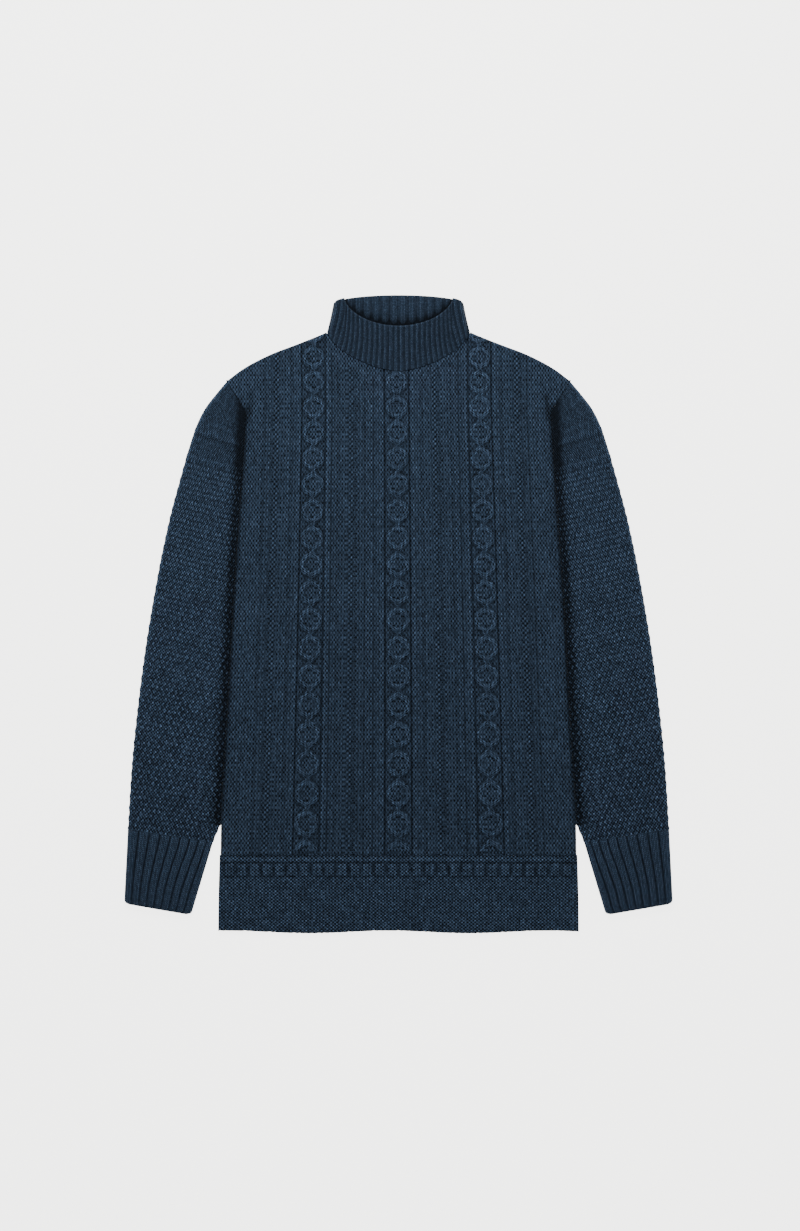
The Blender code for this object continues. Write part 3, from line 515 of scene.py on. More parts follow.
def wool(name, shade, grain=None, uneven=0.7, gloss=1.0):
    """Heathered navy worsted: knit, purl and moss stitches from the UV map, and fuzz.

    grain gives the loops across and up for each stitch and row, and how much they stand out.
    """
    material, surface = principled(
        name,
        Roughness=0.88,
        Specular_IOR_Level=0.05,
        Sheen_Weight=0.02 * gloss,
        Sheen_Roughness=0.45,
        Sheen_Tint=(0.55, 0.70, 0.95, 1.0),
    )

    def node(kind, output, settings, **values):
        """Adds a node and returns one of its outputs."""
        made = material.node_tree.nodes.new("ShaderNode" + kind)
        for label, value in settings.items():
            setattr(made, label, value)
        for label, value in values.items():
            feed(made.inputs[label], value)
        return Wire(made.outputs[output])

    def attribute(label):
        return node("Attribute", "Fac", {"attribute_name": label})

    def noise(scale, detail, vector):
        return node("TexNoise", 0, {}, Scale=scale, Detail=detail, Vector=vector)

    def random(across, up):
        """A number from 0 to 1 for every whole step of the two."""
        cell = node("CombineXYZ", 0, {}, X=across.run("FLOOR"), Y=up.run("FLOOR"))
        return node("TexWhiteNoise", "Value", {"noise_dimensions": "2D"}, Vector=cell)

    place = node("TexCoord", "Object", {})
    stitches = node("UVMap", 0, {"uv_map": "stitches"})
    # Stitches are never quite regular: the yarn's path is shaken a little.
    shake = noise(0.37, 2.0, stitches) - 0.5
    wobble = noise(0.9, 1.0, stitches) - 0.5
    u = node("SeparateXYZ", "X", {}, Vector=stitches) + wobble * 0.22
    v = node("SeparateXYZ", "Y", {}, Vector=stitches) + shake * 0.5

    # Two slanted legs make a knit stitch.
    leg = (u.run("FRACT") - 0.5).run("ABSOLUTE")
    slanted = v - leg * 2.0
    rows = (v * 0.5).wave()
    purl = rows * 0.06 + u.wave() * 0.08 + 0.43
    bumps = (u * 0.73).wave() * rows
    if grain:
        # Loops that lie in a lattice, each standing out by an amount of its own.
        lift = random(u * 2.0 * grain[0] + 0.5, v * 2.0 * grain[1] + 0.5) * 1.5 + 0.25
        lattice = (u * grain[0]).wave() * (v * grain[1]).wave() * lift
        knit = lattice * grain[2] + u.wave() * 0.09 + rows * 0.04 + 0.43
        purl = purl + lattice * grain[2] * 0.75
        bumps = bumps * (lift * 0.5 + 0.5)
    else:
        across = (leg - 0.25).run("ABSOLUTE") * -4.0 + 1.0
        strand = (slanted.run("FRACT") - 0.5).run("ABSOLUTE") * -2.0 + 1.0
        knit = across.power(0.8) * (strand.power(1.1) * 1.05 + 0.08)
    moss = (bumps * 0.5 + 0.5).power(1.1) * 0.40 + knit * 0.42
    stitch = knit + (purl - knit) * attribute("purl")
    stitch = stitch + (moss - stitch) * attribute("moss")

    ply = (v * 5.0 + u * 3.0).wave() * 0.06
    fuzz = noise(900.0, 3.0, place)
    relief = (stitch + ply) * 0.00055 + fuzz * 0.00022
    feed(surface["Normal"], node("Bump", 0, {}, Strength=1.0, Distance=1.0, Height=relief))

    # Every leg of every stitch has a brightness of its own, and the legs on one side of the stitches are
    # painted lighter and those on the other darker, as light from one side would make them.
    varied = random(u * 2.0, slanted) * uneven + (1.0 - uneven / 2)
    facing = (u - 0.25).wave() * -0.12 + 1.0
    # Colour: lighter where the stitches stand up and darker between them and in hollows, as painted light
    # and shade; heathered from yarn to yarn.
    patches = noise(14.0, 2.0, place)
    flecks = noise(680.0, 1.0, place)
    light = (stitch * 2.5 + 0.06).run("MAXIMUM", 0.05) * varied * facing
    light = light * (attribute("painted_shade_and_tone") * -0.60 + 1.0).run("MAXIMUM", 0.16).run("MINIMUM", 1.5)
    light = light * (patches * 0.16 + 0.92) * (flecks * 1.4 + 0.3).run("MAXIMUM", 0.1)
    yarn = (noise(260.0, 1.0, place) * 2.4 - 0.7).run("MINIMUM", 1.0)
    heather = node("Mix", 2, {"data_type": "RGBA"}, Factor=yarn)
    for slot, tint in ((6, 1.0), (7, (1.18, 1.06, 1.02))):
        heather.socket.node.inputs[slot].default_value = (*(np.array(NAVY) * shade * tint), 1.0)
    lit = node("VectorMath", 0, {"operation": "SCALE"}, Vector=heather, Scale=light)
    feed(surface["Base Color"], lit)
    return material


BODY_WOOL = wool("body_wool", 0.95, (0.866, 0.5, 0.42))
WELT_WOOL = wool("welt_wool", 0.98, (0.80, 0.92, 0.75))
RIB_WOOL = wool("rib_wool", 1.12, None, 0.5)
SLEEVE_WOOL = wool("sleeve_wool", 1.12, (0.80, 0.80, 0.85), 0.9)


def finish_piece(piece, node):
    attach(piece, "root")
    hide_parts(node)


# -------- the front
EDGE_STITCH = 60.0  # where the front's fold is, on a scale that leaves the stitches at PLAIN_EDGE
PLAIN_EDGE = 50.0
# Steps round an edge, as distance in from it and share of the full level.
FOLD_STEPS = np.array([
    (0.0030, 1.0), (0.0020, 0.955), (0.0012, 0.88), (0.0005, 0.76), (0.0001, 0.62),
    (0.0, 0.47), (0.0002, 0.32), (0.0007, 0.18), (0.0015, 0.08),
])
SEAM_STEPS = np.array([
    (0.0030, 1.0), (0.0020, 1.0), (0.0012, 1.0), (0.0005, 1.0), (0.0001, 0.97),
    (0.0, 0.86), (0.0, 0.74), (0.0, 0.62), (0.0002, 0.47),
])
LIP = 0.0026  # width of the fold's lip under the back's edge
FOLD_STITCH = 56.5  # where the fold is, in stitches at their true width
TAKE_UP = 1.08  # cloth in a strip to its width at the chest: the spread at the hem, and the relief
MARGIN_COLUMNS = 32
UPPER_ROWS = 104
LOW_ROWS = np.arange(BODY_BOTTOM, 0.60, ROW / 2)  # heights of the rows that run straight across


def edge_steps(folded):
    """Distances in from an edge and shares of the full level, for a fold (1) or a seam (0)."""
    return (mix(SEAM_STEPS[:, k], FOLD_STEPS[:, k], folded) for k in (0, 1))


def column_x(column, height):
    """x of a column at a height; beyond PLAIN_EDGE the columns close up to the side's edge."""
    x = np.clip(column, -PLAIN_EDGE, PLAIN_EDGE) * spread_at(height) - lean_at(height)
    share = unit((np.abs(column) - PLAIN_EDGE) / (EDGE_STITCH - PLAIN_EDGE))
    return mix(x, np.sign(column) * (body_side(height) - FOLD_STEPS[0, 0]), share)


def column_tops(column):
    """Heights at which columns meet the front's upper edge, found by halving."""
    bottom, top = np.full(column.shape, ARMHOLE_FOOT), np.full(column.shape, NECK_SIDE_HEIGHT + 0.01)
    for _ in range(40):
        middle = (bottom + top) / 2
        below = middle < panel_top(column_x(column, middle), NECK_FRONT_DEPTH, SEAM_GAP)
        bottom, top = np.where(below, middle, bottom), np.where(below, top, middle)
    return bottom


def strip_columns(low, high, per_stitch):
    """Columns of a strip, which lie closer beyond PLAIN_EDGE."""
    first, last = max(low, -PLAIN_EDGE), min(high, PLAIN_EDGE)
    columns = np.linspace(first, last, round((last - first) * per_stitch) + 1)
    margin = np.linspace(PLAIN_EDGE, EDGE_STITCH, MARGIN_COLUMNS + 1)[1:]
    before = -margin[::-1] if low < -PLAIN_EDGE else []
    after = margin if high > PLAIN_EDGE else []
    return np.concatenate([before, columns, after])


def strip_heights(columns, low_rows, upper_count, under):
    """Heights of a strip's grid, and shares of the full level: its upper side rounds at the upper edge."""
    top = column_tops(columns)
    folded = ease((np.abs(column_x(columns, top)) - NECK_HALF_WIDTH + 0.002) / 0.004)
    gaps, shares = edge_steps(folded[:, None])
    last = top - (mix(0.0006, LIP, folded) if under else gaps[:, 0])
    rising = low_rows[-1] + (last - low_rows[-1]) * np.linspace(0, 1, upper_count + 1)[1:, None]
    heights = np.concatenate([np.repeat(low_rows[:, None], len(columns), 1), rising])
    levels = np.ones_like(heights)
    if under:
        return heights, levels
    return np.concatenate([heights, top - gaps[:, 1:].T]), np.concatenate([levels, shares[:, 1:].T])


def front_strip(name, low, high, per_stitch):
    """One strip of the front between two places across it, in stitches; the gutters part the strips."""
    shell = Shell()
    columns = strip_columns(low, high, per_stitch)
    heights, row_levels = strip_heights(columns, LOW_ROWS, UPPER_ROWS, False)
    x = column_x(columns, heights)
    grids = [x, heights, row_levels, np.ones_like(x)]
    # Extra columns go round the side's fold, or end at the armhole's seam.
    for side in [-1] * (low < -PLAIN_EDGE) + [1] * (high > PLAIN_EDGE):
        x, heights, row_levels, column_levels = (grid[:, ::side] for grid in grids)
        edge_heights = heights[:, -1:]
        gaps, shares = edge_steps(ease((ARMHOLE_FOOT + 0.004 - edge_heights) / 0.012))
        more = ((0, 0), (0, gaps.shape[1] - 1))
        grids = [
            np.append(x, side * (body_side(edge_heights) - gaps[:, 1:]), axis=1),
            np.pad(heights, more, mode="edge"),
            np.pad(row_levels, more, mode="edge"),
            np.append(column_levels, shares[:, 1:], axis=1),
        ]
        grids = [grid[:, ::side] for grid in grids]
    x, heights, row_levels, column_levels = grids
    stitches = stitches_at(x, heights)
    for middle in CABLE_MIDDLES:
        stitches = np.where(np.abs(stitches - middle) < 1e-6, middle, stitches)
    relief, u, moss, purl, paint = front_knit(stitches, heights, x)
    # A cable's two halves mirror each other, so on its middle the faces to the right read it mirrored.
    u_right = np.where(np.isin(stitches, CABLE_MIDDLES), 2 * stitches - u, u)
    gutter = sum(hump(stitches - middle, 0.36) for middle in GUTTERS)
    lift = creases(x, heights)
    # Gutters and the dents of creases are painted darker, as painted shade.
    paint = paint + 0.70 * gutter + np.clip(-700.0 * lift - 0.25, 0.0, 1.4)
    # The fold beside the sleeve and the dent above each armhole lie in shadow, which is painted darker into
    # the wool.
    d_side = body_side(heights) - np.abs(x)
    beside_sleeve = ease((heights - 0.10) / 0.08) * ease((0.690 - heights) / 0.02)
    paint = paint + 0.9 * beside_sleeve * np.exp(-np.maximum(d_side, 0.0) / 0.0036)
    dent = np.abs(x) - 0.1893 + 0.10 * (heights - 0.660)
    paint = paint + 0.70 * window(heights, 0.650, 0.682, 0.012) * hump(dent, 0.0036)
    in_armhole = ease((heights - ARMHOLE_FOOT) / 0.02 + 1.0)
    loft = mix(roll(np.maximum(d_side - 0.002, 0.0), 0.018), 1.0, in_armhole)
    full = FRONT_UNDER + WALL + LOFT * loft + lift
    share = np.minimum(row_levels, column_levels)
    level = (full + (relief - 0.0014 * gutter) * ease((share - 0.5) / 0.4)) * share
    level = np.where(share < 1.0, np.maximum(level, 0.0004), level)
    # Shade painted into the points below their surroundings is added to the paint.
    upper = shell.grid(
        x, heights + SHIFT, level, u, rows_at(heights),
        moss=moss, purl=purl, painted_shade_and_tone=hollows(full + relief) + paint, u_right=u_right,
    )

    coarse = np.unique(np.append(columns[:: len(columns) // 9], columns[-1]))
    heights, _ = strip_heights(coarse, LOW_ROWS[::32], 12, True)
    x = column_x(coarse, heights)
    d_side = body_side(heights) - np.abs(x)
    level = FRONT_UNDER + 0.6 * LOFT * roll(np.maximum(d_side - 0.006, 0.0), 0.018)
    stitches = stitches_at(x, heights)
    lower = shell.grid(x, heights + SHIFT, level, stitches, rows_at(heights), purl=1.0, flip=True)
    shell.slab(upper, lower)
    return shell.make(name, BODY_WOOL)


STRIP_EDGES = (-EDGE_STITCH, *GUTTERS, EDGE_STITCH)
STRIPS = (
    "side_left", "cable_left", "panel_left", "cable_middle", "panel_right", "cable_right", "side_right",
)

for strip, low, high in zip(STRIPS, STRIP_EDGES, STRIP_EDGES[1:]):
    piece = front_strip("front_" + strip, low, high, 4 if strip.startswith("cable") else 3)
    width = (min(high, FOLD_STITCH) - max(low, -FOLD_STITCH)) * STITCH * TAKE_UP
    finish_piece(piece, "front_body")

# -------- sleeves and cuffs
SLEEVE_STITCHES = 36.0  # across the sleeve's upper side
SLEEVE_ROWS = 168
MOSS_TOP = 0.585  # height at the sleeve's inner fold where its moss stitch starts
SLEEVE_RIDGES = (MOSS_TOP, 0.616)
TUBE_WALL = 0.0024
LINING_COUNTS = (12, 7)  # points across the upper and the lower side of a tube's lining
FOLD_ANGLES = np.radians([-72.0, -48.0, -24.0, 0.0, 24.0, 48.0, 72.0])


def sleeve_inner(height):
    beside = body_side(np.maximum(height, SLEEVE_PARTING)) + 0.0004
    share = (SLEEVE_PARTING - height) / (SLEEVE_PARTING - SLEEVE_END[0])
    return mix(beside, SLEEVE_END[1], unit(share))


def sleeve_rows(shares):
    """Inner and outer ends of the sleeve's rows, as arrays of (height, x, outer height, outer x)."""
    heights = mix(ARMHOLE_SEAM[0], SLEEVE_END[0], shares)
    outer_heights = heights + sleeve_rise(heights)
    found = np.stack([heights, sleeve_inner(heights), outer_heights, sleeve_outside(outer_heights)])
    for end, at, weight in ((ARMHOLE_SEAM, 0, 1 - shares / 0.12), (SLEEVE_END, -1, (shares - 0.9) / 0.1)):
        miss = np.array(end) - found[:, at]
        found = found + miss[:, None] * unit(weight) ** 2
    return found


def tube_loops(widths, tops, reach, top_count, under_count, inset=0.0, tuck=0.0):
    """Cross sections of flattened tubes: distances across, levels, and how far up each point faces.

    tops(share) gives the level of the upper side at shares across, one row for each cross section.
    """
    widths = widths[:, None]
    reach_in, reach_out = np.maximum(np.array(reach) - inset, 0.0004)
    start, stop = inset + reach_in, widths - inset - reach_out
    across = mix(start, stop, np.linspace(0, 1, top_count)[None, :])
    upper = tops(across / widths) - inset
    bulge, rise = np.cos(FOLD_ANGLES), np.sin(FOLD_ANGLES)
    left_level = mix(inset, upper[:, :1], (1 + rise) / 2)
    right_level = mix(inset, upper[:, -1:], (1 + rise[::-1]) / 2)
    tuck = np.asarray(tuck).reshape(-1, 1)
    left = start - reach_in * bulge - tuck * hump(left_level, 0.00077)
    under = mix(stop, start - tuck, np.linspace(0, 1, under_count)[None, :])
    distance = np.concatenate([left, across, stop + reach_out * bulge, under], axis=1)
    levels = np.concatenate([left_level, upper, right_level, np.full(under.shape, inset)], axis=1)
    turned = np.broadcast_to(ease(0.6 + rise), left.shape)
    facing = np.concatenate([turned, np.ones_like(upper), turned[:, ::-1], 0 * under], axis=1)
    return distance, levels, facing


def shares_round(distance, levels):
    """How far round a loop its points lie, from 0 to 1."""
    steps = np.hypot(*(np.diff(values, append=values[0]) for values in (distance, levels)))
    return [0.0, *(np.cumsum(steps)[:-1] / steps.sum())]


def outward(distance, levels):
    """Directions square to closed loops, across and up."""
    da, dz = (np.roll(a, -1, axis=1) - np.roll(a, 1, axis=1) for a in (distance, levels))
    length = np.maximum(np.hypot(da, dz), 1e-9)
    return -dz / length, da / length


def tube_piece(
    name, material, rows, tops, knit, counts, reach, mirrored, stitches, row_marks,
    coarse_every=12, tuck=0.0, lip=(0.0, 0.0),
):
    """A closed, flattened tube; knit(share, row marks, facing, stitches) gives what its skin carries.

    tops(share, pick) gives the level of the upper side on the picked rows.
    """
    shell = Shell()
    heights, inner, outer_heights, outer = rows
    widths = np.hypot(outer - inner, outer_heights - heights)
    every = np.arange(len(widths))

    def place(distance, pick):
        share = distance / widths[pick, None]
        x = mix(inner[pick, None], outer[pick, None], share)
        return x, mix(heights[pick, None], outer_heights[pick, None], share) + SHIFT

    distance, levels, facing = tube_loops(widths, lambda s: tops(s, every), reach, *counts, tuck=tuck)
    first_under = distance.shape[1] - counts[1]
    share = distance / widths[:, None]
    u = share * stitches
    u[:, first_under:] = 2 * stitches - u[:, first_under:]
    v = np.repeat(row_marks[:, None], distance.shape[1], axis=1)
    relief, moss, purl, paint = knit(share, v, facing, u)
    na, nz = outward(distance, levels)
    # Shade is painted into the points below their surroundings, on the sides that face up.
    painted_shade_and_tone = hollows(levels + relief, wrap=True) * unit(nz) + paint
    out_levels = np.maximum(levels + nz * relief, 0.0)
    x, y = place(distance + na * relief, every)
    # The lower half of the seam's end reaches a little way under the piece it is sewn to.
    lower_half = ease((0.0026 - out_levels[0]) / 0.0010)
    x[0] += lip[0] * lower_half
    y[0] += lip[1] * lower_half
    skin = shell.grid(x, y, out_levels, u, v, closed=True, moss=moss, purl=purl, painted_shade_and_tone=painted_shade_and_tone)

    pick = np.unique(np.append(every[::coarse_every], every[-1]))
    inside, inside_levels, _ = tube_loops(
        widths[pick], lambda s: tops(s, pick), reach, *LINING_COUNTS, inset=TUBE_WALL
    )
    x, y = place(inside, pick)
    u, v = inside / widths[pick, None] * stitches, row_marks[pick][:, None]
    lining = shell.grid(x, y, inside_levels, u, v, closed=True, purl=1.0, flip=True)
    for end in (0, -1):
        loops = ((distance[end], levels[end]), (inside[end], inside_levels[end]))
        shell.rim((skin[end], lining[end]), [shares_round(*loop) for loop in loops], last=end == -1)
    return shell.make(name, material, mirrored)


def sleeve(name, mirrored):
    shares = np.linspace(0, 1, 2 * SLEEVE_ROWS + 1)
    rows = sleeve_rows(shares)
    heights, spans = rows[0][:, None], (rows[3] - rows[1])[:, None]

    def tops(share, pick):
        """Level of the sleeve's upper side: it dips beside the body and swells in its middle."""
        along, height = shares[pick, None], heights[pick]
        swell = 0.0028 * np.sin(math.pi * unit(share)) ** 0.8
        beside = window(height, SLEEVE_PARTING - 0.01, 0.648, 0.03)
        dip = 0.0016 * beside * np.exp(-((share * spans[pick] / 0.009) ** 1.5))
        plain = mix(0.0063, 0.0072, share) + swell * mix(1.0, 0.72, ease((along - 0.93) / 0.07)) - dip
        wave = 0.0004 * np.sin(9.0 * along * math.pi + 4.0 * share) * ease(share * 3)
        return mix(0.0072, plain + wave, ease(along / 0.075))

    def knit(share, v, facing, u):
        """Bumps one stitch wide and two rows high, row over row, below the sleeve's smooth top, and their
        painted light and shade.
        """
        moss = ease((MOSS_TOP - heights) / 0.004)
        size = mix(0.0009, 0.0013, ease((0.5 - heights) / 0.35))
        shift = 0.13 * np.sin(u * 0.9 + v * 0.31) + 0.08 * (scatter(np.round(u), np.round(v / 2)) - 0.5)
        pairs = v / 2.0 + shift
        bumps = 0.6 * checker(u, pairs) + 0.2 + 0.2 * np.cos(math.pi * u) * np.cos(math.pi * pairs)
        lines = 1.0 - np.abs(np.cos(math.pi * pairs)) ** 0.7
        relief = moss * (size * (bumps - 0.45) - 0.0005 * lines)
        # Moss bumps are painted lighter and the lines between their rows darker, as painted light and shade;
        # the plain knit is painted darker.
        paint = 0.42 + moss * (-0.16 - 0.86 * bumps + 0.80 * lines)
        # Each ridge is painted lighter, and a line a little below it darker, as painted light and shade.
        for ridge in SLEEVE_RIDGES:
            above = heights - ridge
            relief = relief + 0.0006 * hump(above, 0.0022)
            paint = paint + 0.22 * hump(above + 0.0035, 0.0012) - 0.10 * hump(above, 0.002)
        # A painted shadow darkens the sleeve's edge beside the body.
        beside = window(heights, SLEEVE_PARTING - 0.004, 0.672, 0.02)
        shade = 1.8 * beside * np.exp(-((share * spans / 0.0095) ** 2))
        return facing * relief, 0.5 * moss, 0.0, facing * paint + shade

    piece = tube_piece(
        name + "_knit", SLEEVE_WOOL, rows, tops, knit, (106, 26), (0.0030, 0.0036), mirrored,
        SLEEVE_STITCHES, -shares * SLEEVE_ROWS, lip=(-0.00042, 0.00027),
        tuck=0.0031 * window(heights, SLEEVE_PARTING - 0.004, 0.657, 0.008),
    )
    finish_piece(piece, name)


CUFF_RIBS = 9
CUFF_LENGTH_ROWS = 38
CUFF_STITCHES = 27.0  # across the cuff's upper side
CUFF_CORNER = 0.0050  # radius of the corners at the wrist


def cuff(name, mirrored):
    start, end = np.array(SLEEVE_END), np.array(CUFF_END)
    length = math.hypot(*(start - end)[:2])
    shares = np.linspace(SEAM_GAP / length, 1.0, 2 * CUFF_LENGTH_ROWS + 1)
    left = unit(1.0 - (1.0 - shares) * length / CUFF_CORNER)
    rounding = CUFF_CORNER * (1.0 - np.sqrt(1.0 - left**2))
    wrist = end[2:] - end[:2]
    inwards = np.append(wrist, -wrist) / np.hypot(*wrist)
    rows = start[:, None] + (end - start)[:, None] * shares + inwards[:, None] * rounding
    along = shares[:, None]

    def tops(share, pick):
        swell = 0.0014 * np.sin(math.pi * unit(share)) ** 0.7
        return mix(0.0062, 0.0070, share) + swell * mix(1.0, 0.8, along[pick])

    def knit(share, v, facing, u):
        # The ribs are wider towards the outer fold at the sleeve, and even at the hem.
        warped = unit(share) ** mix(0.84, 1.0, ease(along * 1.3))
        groove = 1.0 - np.abs(np.mod(warped * CUFF_RIBS, 1.0) - 0.5) * 2.0
        relief = facing * (0.0016 * (1.0 - hump(groove, 0.30)) - 0.0002)
        relief = relief * ease(along / 0.05 + 0.3) * mix(1.0, 0.75, ease((along - 0.97) / 0.03))
        # The grooves between the ribs are painted darker, as painted shade, and the ribs lighter, less so
        # towards the wrist.
        paint = facing * (1.30 * hump(groove, 0.20) - 0.52) * mix(1.0, 0.5, ease((along - 0.8) / 0.2))
        return relief, 0.0, facing * hump(groove, 0.22), paint

    piece = tube_piece(
        name + "_ribbed", RIB_WOOL, rows, tops, knit, (108, 30), (0.0034, 0.0036), mirrored,
        CUFF_STITCHES, -SLEEVE_ROWS - shares * CUFF_LENGTH_ROWS, coarse_every=8,
    )
    finish_piece(piece, name)


# -------- the collar
COLLAR_RIBS = 54
INSIDE_RIBS = 32  # seen on the collar's inside, where the ribs pair up
COLLAR_WALL = 0.0028
COLLAR_STEPS = 40
COLLAR_RIM_HALF = 0.0800
RIB_POINTS = 8


def rim_height(x, half, front):
    """Height of the collar's rim, which dips between the corners where it is at the front."""
    dip = np.maximum(0.0, 1.0 - (x / 0.0685) ** 2) ** 0.62
    return 0.7962 + 0.0106 * rounded(np.clip(x / half, -1, 1), 2.0) - 0.0404 * front * dip


def collar_loop(rise):
    """Middle line of half the collar's wall, from the middle of the front round to that of the back."""
    reach = COLLAR_WALL / 2 + 0.0011
    half = mix(NECK_HALF_WIDTH - reach - 2 * SEAM_GAP, COLLAR_RIM_HALF, rise)
    front_level, back_level = mix(0.0057, 0.0135, rise**1.2), 0.0014
    middle, radius = (front_level + back_level) / 2, (front_level - back_level) / 2
    # Straight across the front, half a turn round the side, and straight across the back.
    run = np.linspace(0, 1, 240, endpoint=False)
    centre = np.concatenate([run, 0 * run + 1, 1 - run, [0]]) * (half - radius)
    angle = math.pi * (0.5 - np.concatenate([0 * run, run, 0 * run + 1, [1]]))
    out_x, out_z = np.cos(angle), np.sin(angle)
    x, z = centre + radius * out_x, middle + radius * out_z
    front = (1.0 + out_z) / 2
    neck_depth = mix(NECK_BACK_DEPTH, NECK_FRONT_DEPTH, front)
    seam = neck_height(x + out_x * reach, neck_depth) + SEAM_GAP
    return np.stack([x, mix(seam, rim_height(x, half, front), rise), z, out_x, out_z])


def collar():
    shell = Shell()
    index = np.arange(COLLAR_RIBS * RIB_POINTS)
    outer_rib = 1.0 - np.abs(np.cos(math.pi * index / RIB_POINTS)) ** 4
    wide_rib = 1.0 - np.abs(np.cos(math.pi * index * INSIDE_RIBS / index.size)) ** 3
    # Share of the way up, share of the wall's thickness and lift, for each row; the last two round the rim.
    steps = [(step / COLLAR_STEPS, 1.0, 0.0) for step in range(COLLAR_STEPS + 1)]
    steps += [(1.0, math.cos(a), 0.0015 * math.sin(a)) for a in np.radians([35.0, 65.0])]
    rows = []
    for rise, thick, lift in steps:
        loop = collar_loop(rise)
        length = np.append(0.0, np.cumsum(np.linalg.norm(np.diff(loop[:3]), axis=0)))
        wanted = np.linspace(0, length[-1], index.size // 2 + 1)
        right = np.stack([np.interp(wanted, length, row) for row in loop])
        left = right[:, :0:-1] * np.array([-1, 1, 1, -1, 1])[:, None]
        x, height, z, nx, nz = np.append(right[:, :-1], left, axis=1)
        # The ribs are deepest between seam and rim; on the back they are flat where it rests.
        depth = mix(0.75, 1.0, math.sin(math.pi * rise) ** 0.5)
        out = (COLLAR_WALL / 2 + 0.0014 * outer_rib * depth) * thick
        into = (COLLAR_WALL / 2 - 0.0009 + 0.0012 * wide_rib) * thick
        y = height + lift + SHIFT
        rows.append([x + nx * out, y, np.maximum(z + nz * out, 0.0), x - nx * into, y, z - nz * into])
    outer, inner = np.split(np.stack(rows, axis=1), 2)
    rises, _, lifts = np.array(steps).T[:, :, None]
    # A painted shadow darkens the inside where it goes down behind the front's rim.
    above_rim = inner[1] - SHIFT - rim_height(inner[0], COLLAR_RIM_HALF, 1.0)
    shadow = 2.8 * np.exp(-unit(above_rim - 0.0025) / 0.0050)
    # Two stitches to a narrow rib and four to a wide one, with a purl groove between the ribs.
    u = index / RIB_POINTS * 2.0
    skins = []
    # The purl grooves between the ribs are painted darker, as painted shade, and the ribs lighter; the
    # inside also gets the painted shadow and painted shade on the rim's rounding.
    for skin, rib, flip, paint in ((outer, outer_rib, False, 1.8), (inner, wide_rib, True, 1.35)):
        painted_shade_and_tone = paint * (1 - rib) - 0.60 + flip * (shadow + 250.0 * lifts)
        purl = (1 - rib) ** 2
        skins.append(shell.grid(*skin, u, rises * 30, closed=True, flip=flip, purl=purl, painted_shade_and_tone=painted_shade_and_tone))
    for end in (0, -1):
        shell.rim([skin[end] for skin in skins], [index / index.size] * 2, last=end == -1)
    piece = shell.make("collar_ribbed", RIB_WOOL)
    finish_piece(piece, "collar")


# -------- the welts and the back
BAR_COUNT = 28
BAR_PITCH = 0.445 / BAR_COUNT
BAR_BAND = (0.0700, 0.0852)  # heights that the bars stand between
WELT_RIDGE = 0.0906
DOT_ROWS = ((0.0953, 0.0010, 1.0), (0.0866, 0.0010, 1.0), (0.0690, 0.0009, 0.6))  # height, width, depth
HEM_MIDDLE = -0.0014  # height that the hem's wave is about
WELT_ROW_SHARE = 0.78  # rows of the welt's taller stitches to a row of the body
WELT_EDGE_STEPS = np.array([0.0, 0.0003, 0.0009, 0.0018, 0.0030])


def hem_height(x):
    return HEM_MIDDLE + 0.0017 * np.cos(2 * math.pi * (x + 0.0125) / 0.203)


